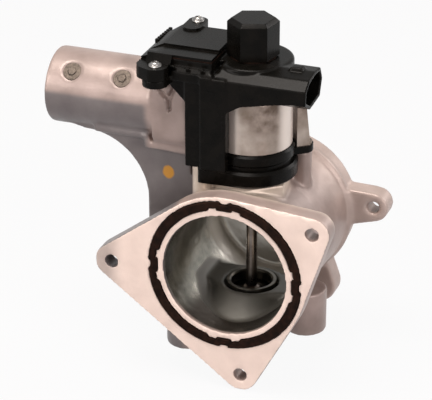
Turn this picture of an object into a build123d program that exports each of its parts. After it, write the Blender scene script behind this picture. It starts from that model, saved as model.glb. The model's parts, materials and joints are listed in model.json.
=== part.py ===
from build123d import *

import math
import os

# An exhaust gas recirculation valve, in millimetres.
# The origin is the centre of the inlet flange's bore, on its sealing face. Air flows along +Y in the duct,
# the poppet valve moves along Z on the stem axis, and exhaust gas enters from the left through the gas pipe.

# ---- driving dimensions: air duct ----
BORE_R = 31.0
DUCT_WALL = 4.0
DUCT_LENGTH = 87.0
INLET_PLATE = 10.0
INLET_RIM_R = 41.0
INLET_HOLES = ((-58.0, -2.4), (43.6, 29.0), (8.4, -52.4))
INLET_CORNER_R = 8.5
OUTLET_BORE_R = 23.0
OUTLET_CENTRE = (2.0, 4.0)
OUTLET_RIM_R = 38.0
OUTLET_PLATE = 11.0
OUTLET_BEAD = 1.6
OUTLET_BOLT_R = 49.0
OUTLET_BOLTS = 3
OUTLET_FIRST_BOLT = 7.0
OUTLET_LUG_R = 7.5
DOWEL_LUG = ((23.0, -38.0), (14.0, -22.0))
DOWEL_LUG_R = (9.0, 12.0)
NECK_TAPER = 3.0
NECK_TO_OUTLET = 7.0
FLARE_START_Y = 48.0
FIXING_HOLE_R = 3.3
OUTLET_LUG_ROOT = 4.0

# ---- driving dimensions: profile seals ----
SEAL_R = 36.4
SEAL_WIDTH = 4.3
SEAL_DEPTH = 2.6
SEAL_PROUD = 0.7
SEAL_KINKS = 4
SEAL_NOTCH = 1.2
SEAL_NOTCH_LENGTH = 4.4
SEAL_NOTCH_ANGLE = 10.0
SEAL_GAP = 0.15
OUTLET_SEAL_R = 29.0

# ---- driving dimensions: stem, seat and gas passages ----
STEM_Y = 40.0
STEM_R = 2.75
RUNNING_GAP = 0.05
PEDESTAL_TOP_Z = -21.6
PEDESTAL_TOP_R = 15.5
PEDESTAL_FOOT_R = 28.0
PEDESTAL_FOOT_Z = -32.5
BELLY_R = 18.0
BELLY_TOP_Z = -26.0
BELLY_BOTTOM_Z = -49.0
SEAT_OUTER_R = 12.4
SEAT_INNER_R = 10.0
SEAT_HEIGHT = 6.0
SEAT_PROUD = 1.0
SEAT_GROOVE = (1.0, 2.0)
SEAT_BEVEL = 0.8
HEAD_R = 11.8
HEAD_RIM = 1.6
HEAD_SWEEP = (3.0, 0.8, 1.2, 2.2, 2.8)
VALVE_LIFT = 6.0
CHAMBER_R = 13.0
PLUG_HEIGHT = 5.0
PLUG_WALL = 1.5
ARM_Z = -33.5
ARM_R = 9.5
ARM_BORE_R = 6.0
ARM_ROOF_R = (15.5, 6.5, 6.5)
ARM_ROOF_ENDS = ((-26.0, 46.5), (24.0, 41.5))
PIPE_Y = 42.0
PIPE_Z = 68.5
PIPE_R = 18.75
PIPE_BORE_R = 14.5
PIPE_END_X = -102.0
PORT_X = (-89.0, -62.9)
PORT_R = 4.6
PORT_RECESS = 1.5
PORT_TILT = 45.0
ELBOW_X = (-46.0, -27.6)
ELBOW_CORNER_R = 8.0
SHAFT_X = (-47.0, -36.0)
SHAFT_Y = (33.0, 57.0)
SHAFT_CORNER_R = 4.0
RISER_WALL = 3.5
WEB_FRONT_Y = 30.0
WEB_THICK = 9.0
WEB_ARC_CENTRE = (-83.0, 19.0)
WEB_ARC_R = 32.5
WEB_TAIL = (-95.0, 54.0)
RISER_BOTTOM_Z = -41.5

# ---- driving dimensions: bracket bosses under the duct ----
BRACKET_BOSSES = ((23.6, 54.5), (-26.6, 21.5))
BRACKET_BOSS_R = 10.5
BRACKET_BOSS_TOP_Z = -28.0
BRACKET_BOSS_BOTTOM_Z = -51.0
BRACKET_HOLE_R = 3.4
BRACKET_HOLE_DEPTH = 14.0

# ---- driving dimensions: actuator seat on the casting ----
SEAT_TOP_Z = 37.0
SEAT_ACROSS_R = 20.5
SEAT_SIDES = 6
GUIDE_R = 5.2
GUIDE_LENGTH = 9.0
SCRAPER_DEPTH = 3.5
GASKET_THICK = 1.0
EAR_ANGLES = (38.0, 218.0)
EAR_R = 5.2
EAR_BOSS_R = 4.6
EAR_HOLE_DEPTH = 12.0
EAR_TOP_Z = 49.6
EAR_BOTTOM_Z = 46.0
SCREW_R = 2.0
SCREW_HEAD_R = 3.2
SCREW_HEAD_H = 2.6
SCREW_LENGTH = 16.0
SLEEVE_R = 2.8
SLEEVE_WALL = 0.8

# ---- driving dimensions: solenoid ----
BASE_R = 22.0
BASE_EDGE = 1.2
BASE_FOOT = (-18.5, 20.0)
BASE_FOOT_R = 2.0
BASE_GROOVE = 1.0
BASE_BORE_R = 10.5
CAN_R = 19.2
CAN_WALL = 1.2
CAN_LEDGE = 1.2
CAN_BOTTOM_Z = 54.0
CAN_TOP_Z = 81.0
CORE_PLATE = 3.0
ARMATURE_R = 8.0
AIR_GAP = 0.6
CORE_TOP_Z = 65.0
ARMATURE_LENGTH = 16.0
TUBE_WALL = 0.9
BOBBIN_WALL = 1.2
BOBBIN_FLANGE = 1.5
SPRING_WIRE_R = 0.75
SPRING_R = 7.2
SPRING_TURNS = 4.5
RETAINER_R = 9.0
RETAINER_H = 2.2
YOKE_PLATE = 1.5
YOKE_GAP = 0.6
YOKE_LEG_THICK = 1.2
YOKE_LEG_W = 9.2
YOKE_FLANGE = (5.8, 2.4)

# ---- driving dimensions: black housing ----
DOME_R = 19.6
DOME_TOP_Z = 98.0
DOME_BEVEL = 1.0
COLUMN_X = (-26.3, -18.0, -5.1)
COLUMN_Y = (17.5, 15.0, 50.0)
COLUMN_TOP_Z = 93.5
LIP_Y = (16.2, 20.4)
LIP_EDGE = ((-5.1, 76.6), (1.7, 80.7), (18.8, 84.3), (26.0, 85.3))
LIP_TOP_Z = 88.0
GUSSET_Y = (18.3, 22.0)
GUSSET_DROP = 11.5
TRAY_X = (-42.0, -13.0)
TRAY_Y = (18.3, 55.0)
TRAY_CLEARANCE = 2.75
TRAY_DEPTH = 10.0
TRAY_WALL = 2.0
TRAY_FLOOR = 2.5
SHOULDER_X = (-32.4, -12.0)
SHOULDER_Y = 15.6
SHOULDER_Z = (94.2, 97.0)
NOTCH_X = -10.2
NOTCH_Y = 29.0
NOTCH_Z = 95.0
GROOVE_Y = 28.3
COVER_PLATE = 1.2
COVER_PLATEAU = 1.2
COVER_SEAL = 0.6
COVER_SEAL_W = 1.6
SKIRT_X = -48.4
SKIRT_EDGE = 4.0
SKIRT_DEPTH = 3.0
SKIRT_END_Y = 49.0
PLATEAU_X = -40.5
FRONT_EAR = (-38.8, 12.0)
FRONT_EAR_SIDE = (-42.2, 13.5)
FRONT_EAR_DROP = (12.0, 8.0, 2.0)
BACK_EAR = (-35.2, 59.5)
BACK_EAR_R = 4.8
BACK_EAR_DROP = 8.0
BACK_EAR_PAD = 3.4
COVER_EAR_R = 6.2
BACK_EAR_ROOT_Y = 52.0
EAR_RAMP = 3.0
FINE_SCREW_R = 1.6
FINE_HEAD_R = 3.0
FINE_HEAD_H = 2.2
FINE_SCREW_LENGTH = 8.0
FINE_HOLE_DEPTH = 5.6
BOARD_X = (-40.0, -15.0)
BOARD_THICK = 1.6
BOARD_GAP = 0.5
CHIP_SIZE = (10.0, 10.0, 1.8)
CONNECTOR_X = (-18.0, 34.0)
CONNECTOR_SECTION = ((16.0, 86.0), (16.4, 92.8), (22.0, 96.6), (31.0, 98.0), (39.0, 97.2), (42.0, 91.0),
                     (38.6, 82.6), (24.2, 81.4))
CONNECTOR_WALL = 1.8
CONNECTOR_DEPTH = 20.0
PIN_COUNT = 5
PIN_PITCH = 3.6
PIN_SIZE = (1.5, 0.7)
PIN_CENTRE = (28.8, 90.0)
PIN_LENGTH = 18.0
PIN_ROOT = 2.5
LATCH_SIZE = (6.0, 5.0, 1.4)
LATCH_X = 22.0

# ---- driving dimensions: position sensor and its cap ----
SENSOR_R = 8.2
SENSOR_BOTTOM_Z = 92.0
SENSOR_TOP_Z = 109.0
SENSOR_WALL = 2.0
PLUNGER_R = 1.5
COLLAR_R = 4.4
COLLAR_H = 2.0
SENSOR_SPRING_R = 3.0
SENSOR_WIRE_R = 0.35
SENSOR_TURNS = 4.0
CAP_R = 12.5
CAP_SIDES = 6
CAP_TURN = 20.4
CAP_SEAL_H = 0.6
CAP_SEAL_W = 1.0
CAP_TOP_Z = 117.2
CAP_BEVEL = 1.8
CAP_SKIRT_R = 10.0
CAP_SKIRT_H = 4.6
FIT_GAP = 0.1
EDGE_BREAK = 0.6
SCRAPER_LIP = 0.6

# ---- places worked out from the driving dimensions ----
DUCT_R = BORE_R + DUCT_WALL
OUTLET_FRONT_Y = DUCT_LENGTH - OUTLET_PLATE
NECK_END_Y = DUCT_LENGTH - NECK_TO_OUTLET
NECK_START_Y = NECK_END_Y - NECK_TAPER
RING_TOP_Z = PEDESTAL_TOP_Z + SEAT_PROUD
SEAT_BOTTOM_Z = RING_TOP_Z - SEAT_HEIGHT
HEAD_TOP_Z = SEAT_BOTTOM_Z - FIT_GAP
HEAD_BOTTOM_Z = HEAD_TOP_Z - 1.5 * HEAD_RIM - EDGE_BREAK
BASE_BOTTOM_Z = SEAT_TOP_Z + GASKET_THICK
BASE_STEP_R = CAN_R + CAN_LEDGE
YOKE_LEG_R = BASE_STEP_R + YOKE_GAP
YOKE_WEB_R = YOKE_LEG_R + YOKE_LEG_THICK
EAR_DISTANCE = YOKE_WEB_R + SCREW_HEAD_R + 2 * FIT_GAP
BOBBIN_BOTTOM_Z = CAN_BOTTOM_Z + CORE_PLATE
BOBBIN_TOP_Z = CAN_TOP_Z - CAN_WALL
ARMATURE_BOTTOM_Z = CORE_TOP_Z + VALVE_LIFT + AIR_GAP
ARMATURE_TOP_Z = ARMATURE_BOTTOM_Z + ARMATURE_LENGTH
TUBE_R = ARMATURE_R + RUNNING_GAP + TUBE_WALL
TUBE_TOP_Z = ARMATURE_TOP_Z + FIT_GAP
BOBBIN_R = TUBE_R + BOBBIN_WALL
COIL_R = CAN_R - CAN_WALL - FIT_GAP
RETAINER_BOTTOM_Z = CAN_BOTTOM_Z - RETAINER_H - FIT_GAP
YOKE_TOP_Z = CAN_TOP_Z + YOKE_PLATE
TRAY_BOTTOM_Z = PIPE_Z + PIPE_R + TRAY_CLEARANCE
TRAY_TOP_Z = TRAY_BOTTOM_Z + TRAY_DEPTH
COVER_BOTTOM_Z = TRAY_TOP_Z + COVER_SEAL
COVER_BAND_Z = COVER_BOTTOM_Z + COVER_PLATE
COVER_TOP_Z = COVER_BAND_Z + COVER_PLATEAU
SKIRT_TOP_Z = COVER_TOP_Z - SKIRT_EDGE
FRONT_EAR_Z = [TRAY_TOP_Z - drop for drop in FRONT_EAR_DROP]
BACK_EAR_Z = [TRAY_TOP_Z - BACK_EAR_DROP, COVER_BOTTOM_Z, COVER_BOTTOM_Z + BACK_EAR_PAD]
CAP_BOTTOM_Z = DOME_TOP_Z + CAP_SEAL_H
COLLAR_BOTTOM_Z = SENSOR_BOTTOM_Z + SENSOR_WALL + VALVE_LIFT + FIT_GAP
SENSOR_BORE_R = SENSOR_R - SENSOR_WALL
SENSOR_CEILING_Z = SENSOR_TOP_Z - SENSOR_WALL

STEM_AXIS = Axis((0, STEM_Y, 0), (0, 0, 1))
STEM_SECTION = Plane.XZ.offset(-STEM_Y)


def at_y(y):
    """The plane that faces the inlet side, y behind the inlet face; its sketches are in (x, z)."""
    return Plane.XZ.offset(-y)


def at_z(z):
    return Plane.XY.offset(z)


def at_x(x):
    """The plane across the pipe and the connector; its sketches are in (y, z)."""
    return Plane.YZ.offset(x)


def polar(distance, angle):
    """A point in plan, round the stem axis."""
    turn = math.radians(angle)
    return distance * math.cos(turn), STEM_Y + distance * math.sin(turn)


def leg_plane(angle):
    """The upright plane through the stem axis and a yoke leg, its sketches in (distance from the axis, z)."""
    turn = math.radians(angle)
    return Plane(
        origin=(0, STEM_Y, 0),
        x_dir=(math.cos(turn), math.sin(turn), 0),
        z_dir=(math.sin(turn), -math.cos(turn), 0),
    )


def radial_strip(near, far, width, angle):
    """A strip in plan that runs outward from the stem axis, to go in a sketch that is open."""
    with Locations(Location((*polar((near + far) / 2, angle), 0), (0, 0, angle))):
        Rectangle(far - near, width)


def port_plane(x, distance):
    """The plane across a port of the gas pipe, at a distance from the pipe's axis."""
    turn = math.radians(PORT_TILT)
    return Plane(
        origin=(x, PIPE_Y - distance * math.cos(turn), PIPE_Z + distance * math.sin(turn)),
        x_dir=(1, 0, 0),
        z_dir=(0, -math.cos(turn), math.sin(turn)),
    )


def box_sketch(x_range, y_range, z):
    """A rectangle in plan between two x and two y values, at height z."""
    with BuildSketch(at_z(z)) as sketch:
        with Locations(((x_range[0] + x_range[1]) / 2, (y_range[0] + y_range[1]) / 2)):
            Rectangle(x_range[1] - x_range[0], y_range[1] - y_range[0])
    return sketch.sketch


def seal_band(mean_r, gap):
    """The outline of a profile seal, grown by gap: each kink is notched once outside and twice inside."""
    inner_r = mean_r - SEAL_WIDTH / 2
    outer_r = mean_r + SEAL_WIDTH / 2
    notch = (2 * (SEAL_NOTCH - gap), SEAL_NOTCH_LENGTH - 2 * gap)
    with BuildSketch() as band:
        Circle(outer_r + gap)
        Circle(inner_r - gap, mode=Mode.SUBTRACT)
        with PolarLocations(outer_r, SEAL_KINKS):
            Rectangle(*notch, mode=Mode.SUBTRACT)
        for side in (-SEAL_NOTCH_ANGLE, SEAL_NOTCH_ANGLE):
            with PolarLocations(inner_r, SEAL_KINKS, start_angle=side):
                Rectangle(*notch, mode=Mode.SUBTRACT)
    return band.sketch


def coil_spring(radius, wire_r, turns, bottom_z, top_z):
    """An open coil spring round the stem axis that stands between two seats."""
    height = top_z - bottom_z - 2 * wire_r
    with BuildPart() as spring:
        with BuildLine() as path:
            Helix(height / turns, height, radius, center=(0, STEM_Y, bottom_z + wire_r))
        with BuildSketch(Plane(path.line @ 0, z_dir=path.line % 0)):
            RegularPolygon(wire_r, 6)
        sweep(path=path.line, is_frenet=True)
    return spring


EAR_POINTS = [polar(EAR_DISTANCE, angle) for angle in EAR_ANGLES]
OUTLET_BOLT_ANGLES = [OUTLET_FIRST_BOLT + turn * 360 / OUTLET_BOLTS for turn in range(OUTLET_BOLTS)]
OUTLET_HOLES = [
    (
        OUTLET_CENTRE[0] + OUTLET_BOLT_R * math.cos(math.radians(angle)),
        OUTLET_CENTRE[1] + OUTLET_BOLT_R * math.sin(math.radians(angle)),
    )
    for angle in OUTLET_BOLT_ANGLES
]

# ---- pedestal of the valve seat and the roof of the gas arm, kept inside the bore ----
with BuildPart() as pedestal:
    with BuildSketch(STEM_SECTION):
        Polygon(
            (0, PEDESTAL_FOOT_Z),
            (PEDESTAL_FOOT_R, PEDESTAL_FOOT_Z),
            (PEDESTAL_TOP_R, PEDESTAL_TOP_Z),
            (0, PEDESTAL_TOP_Z),
            align=None,
        )
    revolve(axis=STEM_AXIS)
    with BuildSketch(at_z(PEDESTAL_FOOT_Z)):
        for centre, radius in zip(((0, STEM_Y), *ARM_ROOF_ENDS), ARM_ROOF_R):
            with Locations(centre):
                Circle(radius)
        make_hull()
    extrude(amount=PEDESTAL_TOP_Z - PEDESTAL_FOOT_Z)
    with BuildSketch(Plane.XZ):
        Circle(BORE_R + DUCT_WALL / 2)
    extrude(amount=-DUCT_LENGTH, mode=Mode.INTERSECT)

# ---- the cast aluminium body ----
with BuildPart() as valve_housing:
    # inlet flange: a three-cornered plate drawn tight round the rim and its fixing bosses
    with BuildSketch(Plane.XZ):
        Circle(INLET_RIM_R)
        with Locations(*INLET_HOLES):
            Circle(INLET_CORNER_R)
        make_hull()
    extrude(amount=-INLET_PLATE)
    # duct barrel, then its flare into the outlet rim
    with BuildSketch(at_y(INLET_PLATE / 2)):
        Circle(DUCT_R)
    extrude(amount=-(OUTLET_FRONT_Y - INLET_PLATE / 2))
    with BuildSketch(at_y(FLARE_START_Y)):
        Circle(DUCT_R)
    with BuildSketch(at_y(OUTLET_FRONT_Y)):
        with Locations(OUTLET_CENTRE):
            Circle(OUTLET_RIM_R - OUTLET_BEAD)
    loft()
    with BuildSketch(at_y(OUTLET_FRONT_Y - OUTLET_BEAD)):
        with Locations(OUTLET_CENTRE):
            Circle(OUTLET_RIM_R)
    extrude(amount=-OUTLET_BEAD * 2)
    # outlet flange with rounded rim and three lugs
    with BuildSketch(at_y(OUTLET_FRONT_Y)):
        with Locations(OUTLET_CENTRE):
            Circle(OUTLET_RIM_R - OUTLET_BEAD / 2)
    extrude(amount=-OUTLET_PLATE)
    for hole in OUTLET_HOLES:
        root = tuple((middle + end) / 2 for middle, end in zip(OUTLET_CENTRE, hole))
        with BuildSketch(at_y(OUTLET_FRONT_Y)):
            with Locations(root):
                Circle(OUTLET_LUG_R + OUTLET_LUG_ROOT)
            with Locations(hole):
                Circle(OUTLET_LUG_R)
            make_hull()
        extrude(amount=-OUTLET_PLATE)
    # dowel lug, low on the outlet flange
    with BuildSketch(at_y(OUTLET_FRONT_Y)):
        for centre, radius in zip(DOWEL_LUG, DOWEL_LUG_R):
            with Locations(centre):
                Circle(radius)
        make_hull()
    extrude(amount=-OUTLET_PLATE)
    # six-sided seat for the actuator, with a boss under each of its ears
    with BuildSketch(at_z(BORE_R / 2)):
        with Locations((0, STEM_Y)):
            RegularPolygon(SEAT_ACROSS_R, SEAT_SIDES, rotation=EAR_ANGLES[0])
    extrude(amount=SEAT_TOP_Z - BORE_R / 2)
    with BuildSketch(at_z(BORE_R / 2)):
        with Locations(*EAR_POINTS):
            Circle(EAR_BOSS_R)
    extrude(amount=EAR_BOTTOM_Z - BORE_R / 2)
    # web between the pipe and the duct, hollowed in one sweep under the pipe
    arc_x, arc_z = WEB_ARC_CENTRE
    diagonal = WEB_ARC_R * math.sqrt(0.5)
    with BuildSketch(at_y(WEB_FRONT_Y)):
        with BuildLine():
            ThreePointArc(
                (arc_x, arc_z + WEB_ARC_R),
                (arc_x + diagonal, arc_z + diagonal),
                (arc_x + WEB_ARC_R, arc_z),
            )
            Polyline(
                (arc_x + WEB_ARC_R, arc_z),
                (arc_x + WEB_ARC_R, RISER_BOTTOM_Z),
                (SHAFT_X[1] + RISER_WALL, RISER_BOTTOM_Z),
                (-BORE_R, 0),
                (-SEAT_ACROSS_R / 2, SEAT_TOP_Z - 2),
                (ELBOW_X[1], SEAT_TOP_Z - 2),
                (ELBOW_X[1], PIPE_Z),
                (WEB_TAIL[0], PIPE_Z),
                WEB_TAIL,
                (arc_x, arc_z + WEB_ARC_R),
            )
        make_face()
    extrude(amount=-WEB_THICK)
    # gas riser beside the duct
    with BuildSketch(at_z(RISER_BOTTOM_Z)):
        with Locations(((SHAFT_X[0] + SHAFT_X[1]) / 2, (WEB_FRONT_Y + SHAFT_Y[1] + RISER_WALL) / 2)):
            Rectangle(
                SHAFT_X[1] - SHAFT_X[0] + 2 * RISER_WALL,
                SHAFT_Y[1] + RISER_WALL - WEB_FRONT_Y,
            )
    extrude(amount=PIPE_Z - RISER_BOTTOM_Z)
    # elbow block, its front face flush with the pipe's
    with BuildSketch(at_x(ELBOW_X[0])):
        with Locations((PIPE_Y, PIPE_Z)):
            RectangleRounded(2 * PIPE_R, 2 * PIPE_R, ELBOW_CORNER_R)
    extrude(amount=ELBOW_X[1] - ELBOW_X[0])
    # gas pipe
    with BuildSketch(at_x(PIPE_END_X)):
        with Locations((PIPE_Y, PIPE_Z)):
            Circle(PIPE_R)
    extrude(amount=ELBOW_X[0] - PIPE_END_X)
    # bracket bosses
    with BuildSketch(at_z(BRACKET_BOSS_BOTTOM_Z)):
        with Locations(*BRACKET_BOSSES):
            Circle(BRACKET_BOSS_R)
    extrude(amount=BRACKET_BOSS_TOP_Z - BRACKET_BOSS_BOTTOM_Z)
    # the bore, which necks down behind the valve to the outlet
    with BuildSketch(Plane.XZ):
        Circle(BORE_R)
    extrude(amount=-NECK_START_Y, mode=Mode.SUBTRACT)
    with BuildSketch(at_y(NECK_START_Y)):
        Circle(BORE_R)
    with BuildSketch(at_y(NECK_END_Y)):
        with Locations(OUTLET_CENTRE):
            Circle(OUTLET_BORE_R)
    loft(mode=Mode.SUBTRACT)
    with BuildSketch(at_y(NECK_END_Y)):
        with Locations(OUTLET_CENTRE):
            Circle(OUTLET_BORE_R)
    extrude(amount=-(DUCT_LENGTH - NECK_END_Y), mode=Mode.SUBTRACT)
    # valve pedestal, the belly under it and the arm that feeds it
    add(pedestal.part)
    with BuildSketch(at_z(BELLY_BOTTOM_Z)):
        with Locations((0, STEM_Y)):
            Circle(BELLY_R)
    extrude(amount=BELLY_TOP_Z - BELLY_BOTTOM_Z)
    with BuildSketch(at_x(SHAFT_X[0])):
        with Locations((STEM_Y, ARM_Z)):
            Circle(ARM_R)
    extrude(amount=-SHAFT_X[0] - SEAT_OUTER_R)
    # gas passages: socket, shaft, arm and chamber
    with BuildSketch(at_x(PIPE_END_X)):
        with Locations((PIPE_Y, PIPE_Z)):
            Circle(PIPE_BORE_R)
    extrude(amount=SHAFT_X[1] - PIPE_END_X, mode=Mode.SUBTRACT)
    with BuildSketch(at_z(ARM_Z - ARM_BORE_R)):
        with Locations(((SHAFT_X[0] + SHAFT_X[1]) / 2, (SHAFT_Y[0] + SHAFT_Y[1]) / 2)):
            RectangleRounded(SHAFT_X[1] - SHAFT_X[0], SHAFT_Y[1] - SHAFT_Y[0], SHAFT_CORNER_R)
    extrude(amount=PIPE_Z - ARM_Z + ARM_BORE_R, mode=Mode.SUBTRACT)
    with BuildSketch(at_x(SHAFT_X[0] + 1)):
        with Locations((STEM_Y, ARM_Z)):
            Circle(ARM_BORE_R)
    extrude(amount=-SHAFT_X[0] - 1, mode=Mode.SUBTRACT)
    with BuildSketch(STEM_SECTION):
        Polygon(
            (0, BELLY_BOTTOM_Z),
            (CHAMBER_R, BELLY_BOTTOM_Z),
            (CHAMBER_R, SEAT_BOTTOM_Z),
            (SEAT_OUTER_R, SEAT_BOTTOM_Z),
            (SEAT_OUTER_R, PEDESTAL_TOP_Z - SEAT_GROOVE[1]),
            (SEAT_OUTER_R + SEAT_GROOVE[0], PEDESTAL_TOP_Z - SEAT_GROOVE[1]),
            (SEAT_OUTER_R + SEAT_GROOVE[0], RING_TOP_Z),
            (0, RING_TOP_Z),
            align=None,
        )
    revolve(axis=STEM_AXIS, mode=Mode.SUBTRACT)
    # stem guide bore through the actuator seat
    with BuildSketch(at_z(BORE_R / 2)):
        with Locations((0, STEM_Y)):
            Circle(GUIDE_R)
    extrude(amount=SEAT_TOP_Z - BORE_R / 2, mode=Mode.SUBTRACT)
    # seal grooves
    with BuildSketch(Plane.XZ):
        add(seal_band(SEAL_R, SEAL_GAP))
    extrude(amount=-SEAL_DEPTH, mode=Mode.SUBTRACT)
    with BuildSketch(at_y(DUCT_LENGTH - SEAL_DEPTH)):
        with Locations(OUTLET_CENTRE):
            add(seal_band(OUTLET_SEAL_R, SEAL_GAP))
    extrude(amount=-SEAL_DEPTH, mode=Mode.SUBTRACT)
    # fixing holes
    with BuildSketch(Plane.XZ):
        with Locations(*INLET_HOLES):
            Circle(FIXING_HOLE_R)
    extrude(amount=-INLET_PLATE, mode=Mode.SUBTRACT)
    with BuildSketch(at_y(OUTLET_FRONT_Y)):
        with Locations(*OUTLET_HOLES):
            Circle(FIXING_HOLE_R)
    extrude(amount=-OUTLET_PLATE, mode=Mode.SUBTRACT)
    with BuildSketch(at_z(BRACKET_BOSS_BOTTOM_Z)):
        with Locations(*BRACKET_BOSSES):
            Circle(BRACKET_HOLE_R)
    extrude(amount=BRACKET_HOLE_DEPTH, mode=Mode.SUBTRACT)
    with BuildSketch(at_z(EAR_BOTTOM_Z)):
        with Locations(*EAR_POINTS):
            Circle(SCREW_R)
    extrude(amount=-EAR_HOLE_DEPTH, mode=Mode.SUBTRACT)
    # pockets for the port plugs on the upper front of the pipe
    for x in PORT_X:
        with BuildSketch(port_plane(x, PIPE_R)):
            Circle(PORT_R)
        extrude(amount=-PORT_RECESS, mode=Mode.SUBTRACT)

# ---- seals of the two duct flanges ----
with BuildPart() as inlet_flange_seal:
    with BuildSketch(at_y(SEAL_DEPTH)):
        add(seal_band(SEAL_R, 0))
    extrude(amount=SEAL_DEPTH + SEAL_PROUD)

with BuildPart() as outlet_flange_seal:
    with BuildSketch(at_y(DUCT_LENGTH - SEAL_DEPTH)):
        with Locations(OUTLET_CENTRE):
            add(seal_band(OUTLET_SEAL_R, 0))
    extrude(amount=-(SEAL_DEPTH + SEAL_PROUD))

# ---- port plugs: discs with a hexagonal key, pressed into the pipe wall ----
with BuildPart() as pipe_port_plugs:
    for x in PORT_X:
        plug_face = port_plane(x, PIPE_R - PORT_RECESS)
        with BuildSketch(plug_face):
            Circle(PORT_R)
        extrude(amount=PORT_RECESS * 0.6)
        with BuildSketch(plug_face):
            RegularPolygon(PORT_R / 2, 6)
        extrude(amount=PORT_RECESS)

# ---- valve seat, pressed into the pedestal ----
with BuildPart() as valve_seat_ring:
    with BuildSketch(STEM_SECTION):
        Polygon(
            (SEAT_INNER_R + SEAT_BEVEL, SEAT_BOTTOM_Z),
            (SEAT_OUTER_R, SEAT_BOTTOM_Z),
            (SEAT_OUTER_R, RING_TOP_Z),
            (SEAT_INNER_R + SEAT_BEVEL, RING_TOP_Z),
            (SEAT_INNER_R, RING_TOP_Z - SEAT_BEVEL),
            (SEAT_INNER_R, SEAT_BOTTOM_Z + SEAT_BEVEL),
            align=None,
        )
    revolve(axis=STEM_AXIS)

# ---- core plug that closes the chamber under the seat ----
with BuildPart() as chamber_core_plug:
    with BuildSketch(STEM_SECTION):
        Polygon(
            (0, BELLY_BOTTOM_Z + PLUG_HEIGHT - PLUG_WALL),
            (0, BELLY_BOTTOM_Z + PLUG_HEIGHT),
            (CHAMBER_R, BELLY_BOTTOM_Z + PLUG_HEIGHT),
            (CHAMBER_R, BELLY_BOTTOM_Z),
            (CHAMBER_R - PLUG_WALL, BELLY_BOTTOM_Z),
            (CHAMBER_R - PLUG_WALL, BELLY_BOTTOM_Z + PLUG_HEIGHT - PLUG_WALL),
            align=None,
        )
    revolve(axis=STEM_AXIS)

# ---- guide bush and scraper ring for the stem ----
with BuildPart() as stem_guide_bush:
    with BuildSketch(at_z(SEAT_TOP_Z - SCRAPER_DEPTH - GUIDE_LENGTH)):
        with Locations((0, STEM_Y)):
            Circle(GUIDE_R)
            Circle(STEM_R + RUNNING_GAP, mode=Mode.SUBTRACT)
    extrude(amount=GUIDE_LENGTH)

with BuildPart() as stem_scraper_seal:
    with BuildSketch(STEM_SECTION):
        Polygon(
            (STEM_R + RUNNING_GAP, SEAT_TOP_Z - SCRAPER_DEPTH),
            (GUIDE_R, SEAT_TOP_Z - SCRAPER_DEPTH),
            (GUIDE_R, SEAT_TOP_Z),
            (STEM_R + RUNNING_GAP + SCRAPER_LIP, SEAT_TOP_Z),
            (STEM_R + RUNNING_GAP, SEAT_TOP_Z - 2 * SCRAPER_LIP),
            align=None,
        )
    revolve(axis=STEM_AXIS)

# ---- poppet: stem and head ----
with BuildPart() as valve_stem:
    with BuildSketch(STEM_SECTION):
        Polygon(
            (0, HEAD_BOTTOM_Z),
            (STEM_R - EDGE_BREAK, HEAD_BOTTOM_Z),
            (STEM_R, HEAD_BOTTOM_Z + EDGE_BREAK),
            (STEM_R, ARMATURE_TOP_Z - EDGE_BREAK),
            (STEM_R - EDGE_BREAK, ARMATURE_TOP_Z),
            (0, ARMATURE_TOP_Z),
            align=None,
        )
    revolve(axis=STEM_AXIS)

with BuildPart() as valve_head:
    with BuildSketch(STEM_SECTION):
        Polygon(
            (STEM_R, HEAD_BOTTOM_Z + EDGE_BREAK),
            (HEAD_R - HEAD_RIM / 2, HEAD_BOTTOM_Z + EDGE_BREAK),
            (HEAD_R, HEAD_TOP_Z - HEAD_RIM),
            (HEAD_R, HEAD_TOP_Z),
            (SEAT_INNER_R - EDGE_BREAK, HEAD_TOP_Z),
            (STEM_R + HEAD_SWEEP[0], HEAD_TOP_Z + HEAD_SWEEP[1]),
            (STEM_R + HEAD_SWEEP[2], HEAD_TOP_Z + HEAD_SWEEP[3]),
            (STEM_R, HEAD_TOP_Z + HEAD_SWEEP[4]),
            align=None,
        )
    revolve(axis=STEM_AXIS)

# ---- gasket and moulded base of the actuator ----
with BuildPart() as actuator_gasket:
    with BuildSketch(at_z(SEAT_TOP_Z)):
        with Locations((0, STEM_Y)):
            Circle(SEAT_ACROSS_R * math.cos(math.pi / SEAT_SIDES))
            Circle(BASE_BORE_R, mode=Mode.SUBTRACT)
        with Locations(*EAR_POINTS):
            Circle(EAR_BOSS_R + FIT_GAP, mode=Mode.SUBTRACT)
    extrude(amount=GASKET_THICK)

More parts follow.
